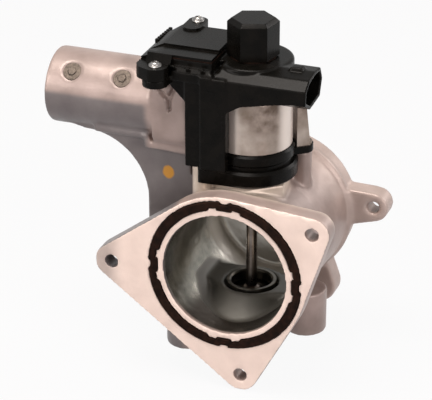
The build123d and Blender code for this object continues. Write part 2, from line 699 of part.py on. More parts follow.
with BuildPart() as actuator_base:
    with BuildSketch(STEM_SECTION):
        Polygon(
            (BASE_BORE_R, BASE_BOTTOM_Z),
            (BASE_R - BASE_EDGE, BASE_BOTTOM_Z),
            (BASE_R, BASE_BOTTOM_Z + BASE_EDGE),
            (BASE_R, EAR_BOTTOM_Z - BASE_EDGE),
            (BASE_R - BASE_EDGE, EAR_BOTTOM_Z),
            (BASE_STEP_R - BASE_GROOVE, EAR_BOTTOM_Z),
            (BASE_STEP_R - BASE_GROOVE, EAR_BOTTOM_Z + 2 * BASE_GROOVE),
            (BASE_STEP_R, EAR_BOTTOM_Z + 3 * BASE_GROOVE),
            (BASE_STEP_R, CAN_BOTTOM_Z - BASE_GROOVE),
            (BASE_STEP_R - BASE_GROOVE, CAN_BOTTOM_Z),
            (BASE_BORE_R, CAN_BOTTOM_Z),
            align=None,
        )
    revolve(axis=STEM_AXIS)
    # corner that carries the column of the black moulding
    with BuildSketch(at_z(BASE_BOTTOM_Z)):
        with Locations((0, STEM_Y)):
            Circle(BASE_R - BASE_EDGE)
        with Locations(BASE_FOOT):
            Circle(BASE_FOOT_R)
        make_hull()
        with Locations((0, STEM_Y)):
            Circle(BASE_BORE_R + BASE_EDGE, mode=Mode.SUBTRACT)
    extrude(amount=EAR_BOTTOM_Z - BASE_BOTTOM_Z)
    for angle in EAR_ANGLES:
        with BuildSketch(at_z(EAR_BOTTOM_Z)):
            with Locations(polar(EAR_DISTANCE, angle)):
                Circle(EAR_R)
            with Locations(polar(BASE_STEP_R - EAR_R, angle)):
                Circle(EAR_R)
            make_hull()
        extrude(amount=EAR_TOP_Z - EAR_BOTTOM_Z)
    with BuildSketch(at_z(BASE_BOTTOM_Z)):
        with Locations(*EAR_POINTS):
            Circle(EAR_BOSS_R + FIT_GAP)
    extrude(amount=EAR_BOTTOM_Z - BASE_BOTTOM_Z, mode=Mode.SUBTRACT)
    with BuildSketch(at_z(EAR_BOTTOM_Z)):
        with Locations(*EAR_POINTS):
            Circle(SLEEVE_R)
    extrude(amount=EAR_TOP_Z - EAR_BOTTOM_Z, mode=Mode.SUBTRACT)

with BuildPart() as ear_sleeves:
    with BuildSketch(at_z(EAR_BOTTOM_Z)):
        with Locations(*EAR_POINTS):
            Circle(SLEEVE_R)
            Circle(SLEEVE_R - SLEEVE_WALL, mode=Mode.SUBTRACT)
    extrude(amount=EAR_TOP_Z - EAR_BOTTOM_Z)

# ---- steel yoke: a plate over the can with two channel-shaped legs that the ear screws hold down ----
with BuildPart() as yoke_bracket:
    for angle in EAR_ANGLES:
        with BuildSketch(leg_plane(angle)):
            Polygon(
                (YOKE_LEG_R, EAR_TOP_Z),
                (YOKE_WEB_R + YOKE_FLANGE[0], EAR_TOP_Z),
                (YOKE_WEB_R + YOKE_FLANGE[1], CAN_TOP_Z),
                (YOKE_LEG_R, CAN_TOP_Z),
                align=None,
            )
        extrude(amount=YOKE_LEG_W / 2, both=True)
        with BuildSketch(at_z(EAR_TOP_Z)):
            radial_strip(
                YOKE_WEB_R,
                EAR_DISTANCE + YOKE_LEG_W,
                YOKE_LEG_W - 2 * YOKE_LEG_THICK,
                angle,
            )
        extrude(amount=CAN_TOP_Z - EAR_TOP_Z, mode=Mode.SUBTRACT)
    for angle in EAR_ANGLES:
        with BuildSketch(at_z(CAN_TOP_Z)):
            radial_strip(0, YOKE_WEB_R, YOKE_LEG_W, angle)
        extrude(amount=YOKE_PLATE)
        with BuildSketch(at_z(EAR_TOP_Z)):
            with Locations(polar(EAR_DISTANCE, angle)):
                Circle(YOKE_LEG_W / 2)
            radial_strip(YOKE_LEG_R, EAR_DISTANCE, YOKE_LEG_W, angle)
        extrude(amount=YOKE_LEG_THICK)
    with BuildSketch(at_z(CAN_TOP_Z)):
        with Locations((0, STEM_Y)):
            Circle(CAN_R - 2 * CAN_WALL)
    extrude(amount=YOKE_PLATE)
    with BuildSketch(at_z(CAN_TOP_Z)):
        with Locations((0, STEM_Y)):
            Circle(TUBE_R + FIT_GAP)
    extrude(amount=YOKE_PLATE, mode=Mode.SUBTRACT)
    with BuildSketch(at_z(EAR_TOP_Z)):
        with Locations(*EAR_POINTS):
            Circle(SCREW_R)
    extrude(amount=YOKE_LEG_THICK, mode=Mode.SUBTRACT)

with BuildPart() as actuator_screws:
    with BuildSketch(at_z(EAR_TOP_Z + YOKE_LEG_THICK - SCREW_LENGTH)):
        with Locations(*EAR_POINTS):
            Circle(SCREW_R - FIT_GAP / 2)
    extrude(amount=SCREW_LENGTH)
    with BuildSketch(at_z(EAR_TOP_Z + YOKE_LEG_THICK)):
        with Locations(*EAR_POINTS):
            Circle(SCREW_HEAD_R)
    extrude(amount=SCREW_HEAD_H)
    with BuildSketch(at_z(EAR_TOP_Z + YOKE_LEG_THICK + SCREW_HEAD_H / 2)):
        with Locations(*EAR_POINTS):
            RegularPolygon(SCREW_R, 6)
    extrude(amount=SCREW_HEAD_H / 2, mode=Mode.SUBTRACT)

# ---- solenoid: can, core, tube, bobbin, winding ----
with BuildPart() as solenoid_can:
    with BuildSketch(STEM_SECTION):
        Polygon(
            (CAN_R - CAN_WALL, CAN_BOTTOM_Z),
            (CAN_R, CAN_BOTTOM_Z),
            (CAN_R, CAN_TOP_Z - CAN_WALL),
            (CAN_R - CAN_WALL, CAN_TOP_Z),
            (TUBE_R + FIT_GAP, CAN_TOP_Z),
            (TUBE_R + FIT_GAP, CAN_TOP_Z - CAN_WALL),
            (CAN_R - CAN_WALL, CAN_TOP_Z - CAN_WALL),
            align=None,
        )
    revolve(axis=STEM_AXIS)

with BuildPart() as pole_piece:
    with BuildSketch(STEM_SECTION):
        Polygon(
            (STEM_R + 2 * RUNNING_GAP, CAN_BOTTOM_Z),
            (COIL_R, CAN_BOTTOM_Z),
            (COIL_R, BOBBIN_BOTTOM_Z),
            (ARMATURE_R, BOBBIN_BOTTOM_Z),
            (ARMATURE_R, CORE_TOP_Z),
            (STEM_R + 2 * RUNNING_GAP, CORE_TOP_Z),
            align=None,
        )
    revolve(axis=STEM_AXIS)

with BuildPart() as armature_sleeve:
    with BuildSketch(at_z(BOBBIN_BOTTOM_Z)):
        with Locations((0, STEM_Y)):
            Circle(TUBE_R)
            Circle(TUBE_R - TUBE_WALL, mode=Mode.SUBTRACT)
    extrude(amount=TUBE_TOP_Z - BOBBIN_BOTTOM_Z)

with BuildPart() as coil_bobbin:
    with BuildSketch(STEM_SECTION):
        Polygon(
            (TUBE_R, BOBBIN_BOTTOM_Z),
            (COIL_R, BOBBIN_BOTTOM_Z),
            (COIL_R, BOBBIN_BOTTOM_Z + BOBBIN_FLANGE),
            (BOBBIN_R, BOBBIN_BOTTOM_Z + BOBBIN_FLANGE),
            (BOBBIN_R, BOBBIN_TOP_Z - BOBBIN_FLANGE),
            (COIL_R, BOBBIN_TOP_Z - BOBBIN_FLANGE),
            (COIL_R, BOBBIN_TOP_Z),
            (TUBE_R, BOBBIN_TOP_Z),
            align=None,
        )
    revolve(axis=STEM_AXIS)

with BuildPart() as coil_winding:
    with BuildSketch(at_z(BOBBIN_BOTTOM_Z + BOBBIN_FLANGE)):
        with Locations((0, STEM_Y)):
            Circle(COIL_R - BOBBIN_FLANGE / 2)
            Circle(BOBBIN_R, mode=Mode.SUBTRACT)
    extrude(amount=BOBBIN_TOP_Z - BOBBIN_BOTTOM_Z - 2 * BOBBIN_FLANGE)

# ---- moving iron, and the spring that closes the valve ----
with BuildPart() as armature:
    with BuildSketch(STEM_SECTION):
        Polygon(
            (STEM_R, ARMATURE_BOTTOM_Z),
            (ARMATURE_R - EDGE_BREAK, ARMATURE_BOTTOM_Z),
            (ARMATURE_R, ARMATURE_BOTTOM_Z + EDGE_BREAK),
            (ARMATURE_R, ARMATURE_TOP_Z - EDGE_BREAK),
            (ARMATURE_R - EDGE_BREAK, ARMATURE_TOP_Z),
            (STEM_R, ARMATURE_TOP_Z - EDGE_BREAK),
            align=None,
        )
    revolve(axis=STEM_AXIS)

with BuildPart() as spring_retainer:
    with BuildSketch(STEM_SECTION):
        Polygon(
            (STEM_R, RETAINER_BOTTOM_Z - 1.0),
            (STEM_R + 2.4, RETAINER_BOTTOM_Z - 1.0),
            (STEM_R + 2.4, RETAINER_BOTTOM_Z),
            (RETAINER_R, RETAINER_BOTTOM_Z),
            (RETAINER_R, RETAINER_BOTTOM_Z + RETAINER_H),
            (STEM_R, RETAINER_BOTTOM_Z + RETAINER_H),
            align=None,
        )
    revolve(axis=STEM_AXIS)

return_spring = coil_spring(SPRING_R, SPRING_WIRE_R, SPRING_TURNS, SEAT_TOP_Z, RETAINER_BOTTOM_Z)

# ---- black moulding: dome, column, connector and electronics tray ----
with BuildPart() as actuator_housing:
    # dome over the solenoid
    with BuildSketch(STEM_SECTION):
        Polygon(
            (0, YOKE_TOP_Z),
            (DOME_R, YOKE_TOP_Z),
            (DOME_R, DOME_TOP_Z - DOME_BEVEL),
            (DOME_R - DOME_BEVEL, DOME_TOP_Z),
            (0, DOME_TOP_Z),
            align=None,
        )
    revolve(axis=STEM_AXIS)
    # column that stands on the base and wraps the left of the can
    with BuildSketch(at_z(EAR_BOTTOM_Z)):
        Polygon(
            (COLUMN_X[0], COLUMN_Y[0]),
            (COLUMN_X[1], COLUMN_Y[0]),
            (COLUMN_X[1], COLUMN_Y[1]),
            (COLUMN_X[2], COLUMN_Y[1]),
            (COLUMN_X[2], COLUMN_Y[2]),
            (COLUMN_X[0], COLUMN_Y[2]),
            align=None,
        )
    extrude(amount=COLUMN_TOP_Z - EAR_BOTTOM_Z)
    # connector shroud
    with BuildSketch(at_x(CONNECTOR_X[0])):
        Polygon(*CONNECTOR_SECTION, align=None)
    extrude(amount=CONNECTOR_X[1] - CONNECTOR_X[0])
    # lip that hangs in front of the can's shoulder
    with BuildSketch(at_y(LIP_Y[0])):
        Polygon(
            *LIP_EDGE,
            (LIP_EDGE[-1][0], LIP_TOP_Z),
            (LIP_EDGE[0][0], LIP_TOP_Z),
            align=None,
        )
    extrude(amount=LIP_Y[0] - LIP_Y[1])
    # electronics tray and the gusset that carries its overhang
    extrude(box_sketch(TRAY_X, TRAY_Y, TRAY_BOTTOM_Z), amount=TRAY_TOP_Z - TRAY_BOTTOM_Z)
    with BuildSketch(at_y(GUSSET_Y[0])):
        Polygon(
            (COLUMN_X[0], TRAY_BOTTOM_Z - GUSSET_DROP),
            (COLUMN_X[0] - GUSSET_DROP, TRAY_BOTTOM_Z),
            (COLUMN_X[0] + TRAY_WALL, TRAY_BOTTOM_Z),
            (COLUMN_X[0] + TRAY_WALL, TRAY_BOTTOM_Z - GUSSET_DROP),
            align=None,
        )
    extrude(amount=GUSSET_Y[0] - GUSSET_Y[1])
    # sloping shoulder from the tray's front down to the column's
    with BuildSketch(at_x(SHOULDER_X[0])):
        Polygon(
            (SHOULDER_Y, TRAY_BOTTOM_Z),
            (SHOULDER_Y, SHOULDER_Z[0]),
            (TRAY_Y[0], SHOULDER_Z[1]),
            (TRAY_Y[0], TRAY_BOTTOM_Z),
            align=None,
        )
    extrude(amount=SHOULDER_X[1] - SHOULDER_X[0])
    # ears under the cover's ears
    with BuildSketch(at_z(FRONT_EAR_Z[0])):
        with Locations(FRONT_EAR, (FRONT_EAR[0], TRAY_Y[0] + COVER_EAR_R)):
            Circle(COVER_EAR_R)
        make_hull()
    extrude(amount=FRONT_EAR_Z[1] - FRONT_EAR_Z[0])
    with BuildSketch(at_z(BACK_EAR_Z[0])):
        with Locations(BACK_EAR, (BACK_EAR[0], BACK_EAR_ROOT_Y)):
            Circle(BACK_EAR_R)
        make_hull()
    extrude(amount=BACK_EAR_Z[1] - BACK_EAR_Z[0])
    # room above the tray for the cover, and inside it for the board
    cover_room_x = (TRAY_X[0] - FIT_GAP, TRAY_X[1] + FIT_GAP)
    cover_room_y = (TRAY_Y[0] - FIT_GAP, TRAY_Y[1] + FIT_GAP)
    board_room_y = (TRAY_Y[0] + TRAY_WALL, TRAY_Y[1] - TRAY_WALL)
    extrude(
        box_sketch(cover_room_x, cover_room_y, TRAY_TOP_Z),
        amount=COVER_TOP_Z - TRAY_TOP_Z,
        mode=Mode.SUBTRACT,
    )
    extrude(
        box_sketch(BOARD_X, board_room_y, TRAY_BOTTOM_Z + TRAY_FLOOR),
        amount=TRAY_TOP_Z - TRAY_BOTTOM_Z - TRAY_FLOOR,
        mode=Mode.SUBTRACT,
    )
    # slot between the tray and the connector
    extrude(
        box_sketch((TRAY_X[1], NOTCH_X), (SHOULDER_Y, NOTCH_Y), NOTCH_Z),
        amount=COVER_TOP_Z - NOTCH_Z,
        mode=Mode.SUBTRACT,
    )
    # room for the can, the yoke and the base
    with BuildSketch(at_z(EAR_BOTTOM_Z)):
        with Locations((0, STEM_Y)):
            Circle(CAN_R + FIT_GAP)
    extrude(amount=YOKE_TOP_Z - EAR_BOTTOM_Z, mode=Mode.SUBTRACT)
    with BuildSketch(at_z(EAR_BOTTOM_Z)):
        with Locations((0, STEM_Y)):
            Circle(BASE_STEP_R + FIT_GAP)
    extrude(amount=CAN_BOTTOM_Z + FIT_GAP - EAR_BOTTOM_Z, mode=Mode.SUBTRACT)
    for angle in EAR_ANGLES:
        with BuildSketch(at_z(EAR_BOTTOM_Z)):
            radial_strip(0, EAR_DISTANCE, 2 * (EAR_R + FIT_GAP), angle)
            with Locations(polar(EAR_DISTANCE, angle)):
                Circle(EAR_R + FIT_GAP)
        extrude(amount=EAR_TOP_Z + YOKE_LEG_THICK + SCREW_HEAD_H + FIT_GAP - EAR_BOTTOM_Z, mode=Mode.SUBTRACT)
        with BuildSketch(at_z(EAR_BOTTOM_Z)):
            radial_strip(0, YOKE_WEB_R + YOKE_FLANGE[0] + FIT_GAP, YOKE_LEG_W + 2 * FIT_GAP, angle)
        extrude(amount=YOKE_TOP_Z - EAR_BOTTOM_Z, mode=Mode.SUBTRACT)
    # well for the armature's travel, the sensor and the cap's thread
    with BuildSketch(STEM_SECTION):
        Polygon(
            (0, YOKE_TOP_Z),
            (TUBE_R + FIT_GAP, YOKE_TOP_Z),
            (TUBE_R + FIT_GAP, SENSOR_BOTTOM_Z),
            (CAP_SKIRT_R, SENSOR_BOTTOM_Z),
            (CAP_SKIRT_R, DOME_TOP_Z),
            (0, DOME_TOP_Z),
            align=None,
        )
    revolve(axis=STEM_AXIS, mode=Mode.SUBTRACT)
    # connector cavity
    with BuildSketch(at_x(CONNECTOR_X[1])):
        Polygon(*CONNECTOR_SECTION, align=None)
        offset(amount=-CONNECTOR_WALL, mode=Mode.REPLACE)
    extrude(amount=-CONNECTOR_DEPTH, mode=Mode.SUBTRACT)
    with BuildSketch(at_x(CONNECTOR_X[1] - CONNECTOR_DEPTH - PIN_ROOT)):
        with Locations(PIN_CENTRE):
            with GridLocations(PIN_PITCH, 0, PIN_COUNT, 1):
                Rectangle(*PIN_SIZE)
    extrude(amount=PIN_ROOT, mode=Mode.SUBTRACT)
    # latch ramp on the connector's top
    with BuildSketch(at_x(LATCH_X)):
        with Locations((CONNECTOR_SECTION[3][0], CONNECTOR_SECTION[3][1])):
            Rectangle(LATCH_SIZE[1], 2 * LATCH_SIZE[2])
    extrude(amount=LATCH_SIZE[0])
    # screw holes for the cover
    for ear, levels in ((FRONT_EAR, FRONT_EAR_Z), (BACK_EAR, BACK_EAR_Z)):
        with BuildSketch(at_z(levels[1])):
            with Locations(ear):
                Circle(FINE_SCREW_R)
        extrude(amount=-FINE_HOLE_DEPTH, mode=Mode.SUBTRACT)

with BuildPart() as connector_pins:
    with BuildSketch(at_x(CONNECTOR_X[1] - CONNECTOR_DEPTH - PIN_ROOT)):
        with Locations(PIN_CENTRE):
            with GridLocations(PIN_PITCH, 0, PIN_COUNT, 1):
                Rectangle(*PIN_SIZE)
    extrude(amount=PIN_LENGTH)

# ---- position sensor with its sprung plunger ----
with BuildPart() as sensor_body:
    with BuildSketch(STEM_SECTION):
        Polygon(
            (PLUNGER_R + RUNNING_GAP, SENSOR_BOTTOM_Z),
            (CAP_SKIRT_R, SENSOR_BOTTOM_Z),
            (CAP_SKIRT_R, CAP_BOTTOM_Z - CAP_SKIRT_H),
            (SENSOR_R, CAP_BOTTOM_Z - CAP_SKIRT_H),
            (SENSOR_R, SENSOR_TOP_Z),
            (0, SENSOR_TOP_Z),
            (0, SENSOR_CEILING_Z),
            (SENSOR_BORE_R, SENSOR_CEILING_Z),
            (SENSOR_BORE_R, SENSOR_BOTTOM_Z + SENSOR_WALL),
            (PLUNGER_R + RUNNING_GAP, SENSOR_BOTTOM_Z + SENSOR_WALL),
            align=None,
        )
    revolve(axis=STEM_AXIS)

with BuildPart() as sensor_plunger:
    with BuildSketch(STEM_SECTION):
        Polygon(
            (0, ARMATURE_TOP_Z),
            (PLUNGER_R - EDGE_BREAK, ARMATURE_TOP_Z),
            (PLUNGER_R, ARMATURE_TOP_Z + EDGE_BREAK),
            (PLUNGER_R, COLLAR_BOTTOM_Z),
            (COLLAR_R, COLLAR_BOTTOM_Z),
            (COLLAR_R, COLLAR_BOTTOM_Z + COLLAR_H),
            (0, COLLAR_BOTTOM_Z + COLLAR_H),
            align=None,
        )
    revolve(axis=STEM_AXIS)

sensor_spring = coil_spring(
    SENSOR_SPRING_R, SENSOR_WIRE_R, SENSOR_TURNS, COLLAR_BOTTOM_Z + COLLAR_H, SENSOR_CEILING_Z
)

# ---- hexagonal cap screwed in over the sensor, and its seal ----
with BuildPart() as hex_cap:
    with BuildSketch(at_z(CAP_BOTTOM_Z)):
        with Locations((0, STEM_Y)):
            RegularPolygon(CAP_R, CAP_SIDES, rotation=CAP_TURN)
    extrude(amount=CAP_TOP_Z - CAP_BOTTOM_Z)
    chamfer(hex_cap.edges().group_by(Axis.Z)[-1], CAP_BEVEL)
    with BuildSketch(at_z(CAP_BOTTOM_Z)):
        with Locations((0, STEM_Y)):
            Circle(CAP_SKIRT_R)
    extrude(amount=-CAP_SKIRT_H)
    with BuildSketch(at_z(CAP_BOTTOM_Z - CAP_SKIRT_H)):
        with Locations((0, STEM_Y)):
            Circle(SENSOR_R + FIT_GAP)
    extrude(amount=SENSOR_TOP_Z + FIT_GAP - CAP_BOTTOM_Z + CAP_SKIRT_H, mode=Mode.SUBTRACT)

with BuildPart() as hex_cap_seal:
    with BuildSketch(STEM_SECTION):
        Polygon(
            (CAP_SKIRT_R, DOME_TOP_Z),
            (CAP_SKIRT_R + CAP_SEAL_W, DOME_TOP_Z),
            (CAP_SKIRT_R + CAP_SEAL_W, CAP_BOTTOM_Z),
            (CAP_SKIRT_R, CAP_BOTTOM_Z),
            align=None,
        )
    revolve(axis=STEM_AXIS)

# ---- electronics cover: front band, plateau behind the groove, a skirt down the left side and two ears ----
with BuildPart() as electronics_cover:
    for y_start, y_end, top_z in ((TRAY_Y[0], GROOVE_Y, COVER_BAND_Z), (GROOVE_Y, TRAY_Y[1], COVER_TOP_Z)):
        with BuildSketch(at_y(y_start)):
            Polygon(
                (SKIRT_X, SKIRT_TOP_Z - SKIRT_DEPTH),
                (SKIRT_X, SKIRT_TOP_Z),
                (PLATEAU_X, top_z),
                (TRAY_X[1], top_z),
                (TRAY_X[1], COVER_BOTTOM_Z),
                (TRAY_X[0] - FIT_GAP, COVER_BOTTOM_Z),
                (TRAY_X[0] - FIT_GAP, SKIRT_TOP_Z - SKIRT_DEPTH),
                align=None,
            )
        extrude(amount=y_start - y_end)
    # the skirt's back corner is cut away
    with BuildSketch(at_z(SKIRT_TOP_Z - SKIRT_DEPTH)):
        Polygon(
            (SKIRT_X, SKIRT_END_Y),
            (TRAY_X[0] - FIT_GAP, TRAY_Y[1]),
            (SKIRT_X, TRAY_Y[1]),
            align=None,
        )
    extrude(amount=COVER_TOP_Z - SKIRT_TOP_Z + SKIRT_DEPTH, mode=Mode.SUBTRACT)
    # front ear, lower than the cover and joined to its edge by a ramp
    with BuildSketch(at_z(FRONT_EAR_Z[1])):
        with Locations(FRONT_EAR, FRONT_EAR_SIDE):
            Circle(COVER_EAR_R)
        with Locations((FRONT_EAR_SIDE[0], TRAY_Y[0] + EAR_RAMP)):
            Rectangle(2 * COVER_EAR_R, EAR_RAMP)
        make_hull()
    extrude(amount=FRONT_EAR_Z[2] - FRONT_EAR_Z[1])
    with BuildSketch(at_x(FRONT_EAR[0] - COVER_EAR_R)):
        Polygon(
            (TRAY_Y[0] - EAR_RAMP, FRONT_EAR_Z[2]),
            (TRAY_Y[0], FRONT_EAR_Z[2]),
            (TRAY_Y[0], COVER_BOTTOM_Z),
            (TRAY_Y[0] + TRAY_WALL, COVER_BOTTOM_Z),
            (TRAY_Y[0] + TRAY_WALL, COVER_BAND_Z),
            (TRAY_Y[0], COVER_BAND_Z),
            align=None,
        )
    extrude(amount=2 * COVER_EAR_R)
    # back ear, a pad on the cover's own level
    with BuildSketch(at_z(BACK_EAR_Z[1])):
        with Locations(BACK_EAR, (BACK_EAR[0], BACK_EAR_ROOT_Y)):
            Circle(BACK_EAR_R)
        make_hull()
    extrude(amount=BACK_EAR_Z[2] - BACK_EAR_Z[1])
    # room for the tray that the cover sits on
    tray_room_x = (TRAY_X[0] - FIT_GAP, TRAY_X[1] + FIT_GAP)
    tray_room_y = (TRAY_Y[0] - FIT_GAP, TRAY_Y[1] + FIT_GAP)
    extrude(
        box_sketch(tray_room_x, tray_room_y, FRONT_EAR_Z[1]),
        amount=COVER_BOTTOM_Z - FRONT_EAR_Z[1],
        mode=Mode.SUBTRACT,
    )
    for ear, levels in ((FRONT_EAR, FRONT_EAR_Z), (BACK_EAR, BACK_EAR_Z)):
        with BuildSketch(at_z(levels[1])):
            with Locations(ear):
                Circle(FINE_SCREW_R)
        extrude(amount=levels[2] - levels[1], mode=Mode.SUBTRACT)

with BuildPart() as cover_seal:
    extrude(box_sketch(TRAY_X, TRAY_Y, TRAY_TOP_Z), amount=COVER_SEAL)
    extrude(
        box_sketch(
            (TRAY_X[0] + COVER_SEAL_W, TRAY_X[1] - COVER_SEAL_W),
            (TRAY_Y[0] + COVER_SEAL_W, TRAY_Y[1] - COVER_SEAL_W),
            TRAY_TOP_Z,
        ),
        amount=COVER_SEAL,
        mode=Mode.SUBTRACT,
    )

with BuildPart() as cover_screws:
    for ear, levels in ((FRONT_EAR, FRONT_EAR_Z), (BACK_EAR, BACK_EAR_Z)):
        with BuildSketch(at_z(levels[2] - FINE_SCREW_LENGTH)):
            with Locations(ear):
                Circle(FINE_SCREW_R - FIT_GAP / 2)
        extrude(amount=FINE_SCREW_LENGTH)
        with BuildSketch(at_z(levels[2])):
            with Locations(ear):
                Circle(FINE_HEAD_R)
        extrude(amount=FINE_HEAD_H)
        with BuildSketch(at_z(levels[2] + FINE_HEAD_H / 2)):
            with Locations(ear):
                RegularPolygon(FINE_SCREW_R, 6)
        extrude(amount=FINE_HEAD_H / 2, mode=Mode.SUBTRACT)

with BuildPart() as circuit_board:
    board_x = (BOARD_X[0] + BOARD_GAP, BOARD_X[1] - BOARD_GAP)
    board_y = (TRAY_Y[0] + TRAY_WALL + BOARD_GAP, TRAY_Y[1] - TRAY_WALL - BOARD_GAP)
    board_z = TRAY_BOTTOM_Z + TRAY_FLOOR
    extrude(box_sketch(board_x, board_y, board_z), amount=BOARD_THICK)
    with BuildSketch(at_z(board_z + BOARD_THICK)):
        with Locations(((board_x[0] + board_x[1]) / 2, (board_y[0] + board_y[1]) / 2)):
            with GridLocations(0, CHIP_SIZE[1] * 1.5, 1, 2):
                Rectangle(CHIP_SIZE[0], CHIP_SIZE[1])
    extrude(amount=CHIP_SIZE[2])

# ---- write every sub-part ----
os.makedirs("parts", exist_ok=True)
valve_housing.part.label = "valve_housing"
export_step(valve_housing.part, "parts/valve_housing.step")
inlet_flange_seal.part.label = "inlet_flange_seal"
export_step(inlet_flange_seal.part, "parts/inlet_flange_seal.step")
outlet_flange_seal.part.label = "outlet_flange_seal"
export_step(outlet_flange_seal.part, "parts/outlet_flange_seal.step")
pipe_port_plugs.part.label = "pipe_port_plugs"
export_step(pipe_port_plugs.part, "parts/pipe_port_plugs.step")
valve_seat_ring.part.label = "valve_seat_ring"
export_step(valve_seat_ring.part, "parts/valve_seat_ring.step")
chamber_core_plug.part.label = "chamber_core_plug"
export_step(chamber_core_plug.part, "parts/chamber_core_plug.step")
stem_guide_bush.part.label = "stem_guide_bush"
export_step(stem_guide_bush.part, "parts/stem_guide_bush.step")
stem_scraper_seal.part.label = "stem_scraper_seal"
export_step(stem_scraper_seal.part, "parts/stem_scraper_seal.step")
valve_stem.part.label = "valve_stem"
export_step(valve_stem.part, "parts/valve_stem.step")
valve_head.part.label = "valve_head"
export_step(valve_head.part, "parts/valve_head.step")
actuator_gasket.part.label = "actuator_gasket"
export_step(actuator_gasket.part, "parts/actuator_gasket.step")
actuator_base.part.label = "actuator_base"
export_step(actuator_base.part, "parts/actuator_base.step")
ear_sleeves.part.label = "ear_sleeves"
export_step(ear_sleeves.part, "parts/ear_sleeves.step")
yoke_bracket.part.label = "yoke_bracket"
export_step(yoke_bracket.part, "parts/yoke_bracket.step")
actuator_screws.part.label = "actuator_screws"
export_step(actuator_screws.part, "parts/actuator_screws.step")
solenoid_can.part.label = "solenoid_can"
export_step(solenoid_can.part, "parts/solenoid_can.step")
pole_piece.part.label = "pole_piece"
export_step(pole_piece.part, "parts/pole_piece.step")
armature_sleeve.part.label = "armature_sleeve"
export_step(armature_sleeve.part, "parts/armature_sleeve.step")
coil_bobbin.part.label = "coil_bobbin"
export_step(coil_bobbin.part, "parts/coil_bobbin.step")
coil_winding.part.label = "coil_winding"
export_step(coil_winding.part, "parts/coil_winding.step")
armature.part.label = "armature"
export_step(armature.part, "parts/armature.step")
spring_retainer.part.label = "spring_retainer"
export_step(spring_retainer.part, "parts/spring_retainer.step")
return_spring.part.label = "return_spring"
export_step(return_spring.part, "parts/return_spring.step")
actuator_housing.part.label = "actuator_housing"
export_step(actuator_housing.part, "parts/actuator_housing.step")
connector_pins.part.label = "connector_pins"
export_step(connector_pins.part, "parts/connector_pins.step")
sensor_body.part.label = "sensor_body"
export_step(sensor_body.part, "parts/sensor_body.step")
sensor_plunger.part.label = "sensor_plunger"
export_step(sensor_plunger.part, "parts/sensor_plunger.step")
sensor_spring.part.label = "sensor_spring"
export_step(sensor_spring.part, "parts/sensor_spring.step")
hex_cap.part.label = "hex_cap"
export_step(hex_cap.part, "parts/hex_cap.step")
hex_cap_seal.part.label = "hex_cap_seal"
export_step(hex_cap_seal.part, "parts/hex_cap_seal.step")
electronics_cover.part.label = "electronics_cover"
export_step(electronics_cover.part, "parts/electronics_cover.step")
cover_seal.part.label = "cover_seal"
export_step(cover_seal.part, "parts/cover_seal.step")
cover_screws.part.label = "cover_screws"
export_step(cover_screws.part, "parts/cover_screws.step")
circuit_board.part.label = "circuit_board"
export_step(circuit_board.part, "parts/circuit_board.step")
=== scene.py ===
# %% [markdown]
# An exhaust gas recirculation valve: a cast aluminium duct, a gas pipe, and a solenoid with a position sensor on top.
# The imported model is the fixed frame. Every piece below is made in metres, in the same place as the solid that it
# stands for. A beginner could also draw each piece from nothing, but then the fits between pieces would drift.

# %% Load the frame
import json
import math

import bmesh
import bpy
import numpy as np
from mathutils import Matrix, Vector


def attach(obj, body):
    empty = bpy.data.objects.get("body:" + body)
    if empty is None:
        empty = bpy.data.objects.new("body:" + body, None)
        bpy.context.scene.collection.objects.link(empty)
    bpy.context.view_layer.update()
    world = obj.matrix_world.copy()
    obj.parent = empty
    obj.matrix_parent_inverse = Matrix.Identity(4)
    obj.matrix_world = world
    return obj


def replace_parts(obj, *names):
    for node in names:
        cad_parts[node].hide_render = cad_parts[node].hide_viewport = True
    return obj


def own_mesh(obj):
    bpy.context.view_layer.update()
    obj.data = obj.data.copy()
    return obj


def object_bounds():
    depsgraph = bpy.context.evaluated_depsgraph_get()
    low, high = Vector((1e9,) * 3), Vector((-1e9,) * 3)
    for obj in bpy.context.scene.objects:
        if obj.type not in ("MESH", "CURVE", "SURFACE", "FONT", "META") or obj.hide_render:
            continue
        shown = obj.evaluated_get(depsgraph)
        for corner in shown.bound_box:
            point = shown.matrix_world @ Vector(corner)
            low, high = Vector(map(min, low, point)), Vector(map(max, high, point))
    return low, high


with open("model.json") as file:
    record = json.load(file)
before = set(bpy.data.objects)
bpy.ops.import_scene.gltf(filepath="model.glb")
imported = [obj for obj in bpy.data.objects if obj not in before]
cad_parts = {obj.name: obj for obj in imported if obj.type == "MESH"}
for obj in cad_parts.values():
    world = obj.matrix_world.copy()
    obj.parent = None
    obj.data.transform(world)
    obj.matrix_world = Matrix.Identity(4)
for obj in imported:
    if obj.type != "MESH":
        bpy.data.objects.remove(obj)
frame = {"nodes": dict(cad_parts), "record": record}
cad_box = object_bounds()
nodes = frame["nodes"]
MM = 0.001
LENGTH = cad_box[1][1] / MM
print("solids in the frame:", len(nodes))


# %% [markdown]
# A studio needs four things: a camera, a floor, lights and a world.
# The camera is a long lens far away, which keeps the flange nearly undistorted, as a product picture does.
# Its place comes from two angles and an offset, so that each can be changed alone. Dragging a camera by hand is
# quicker, but it can't be repeated.

# %% Camera
AZIMUTH = math.radians(20.4)
ELEVATION = math.radians(25.5)
DISTANCE = 1.1
LENS = 192.5
SENSOR = 36.0
SLIDE_RIGHT = -3.667 * MM
SLIDE_UP = 36.19 * MM

towards_camera = Vector(
    (
        math.sin(AZIMUTH) * math.cos(ELEVATION),
        -math.cos(AZIMUTH) * math.cos(ELEVATION),
        math.sin(ELEVATION),
    )
)
right = Vector((math.cos(AZIMUTH), math.sin(AZIMUTH), 0))
up = towards_camera.cross(right)

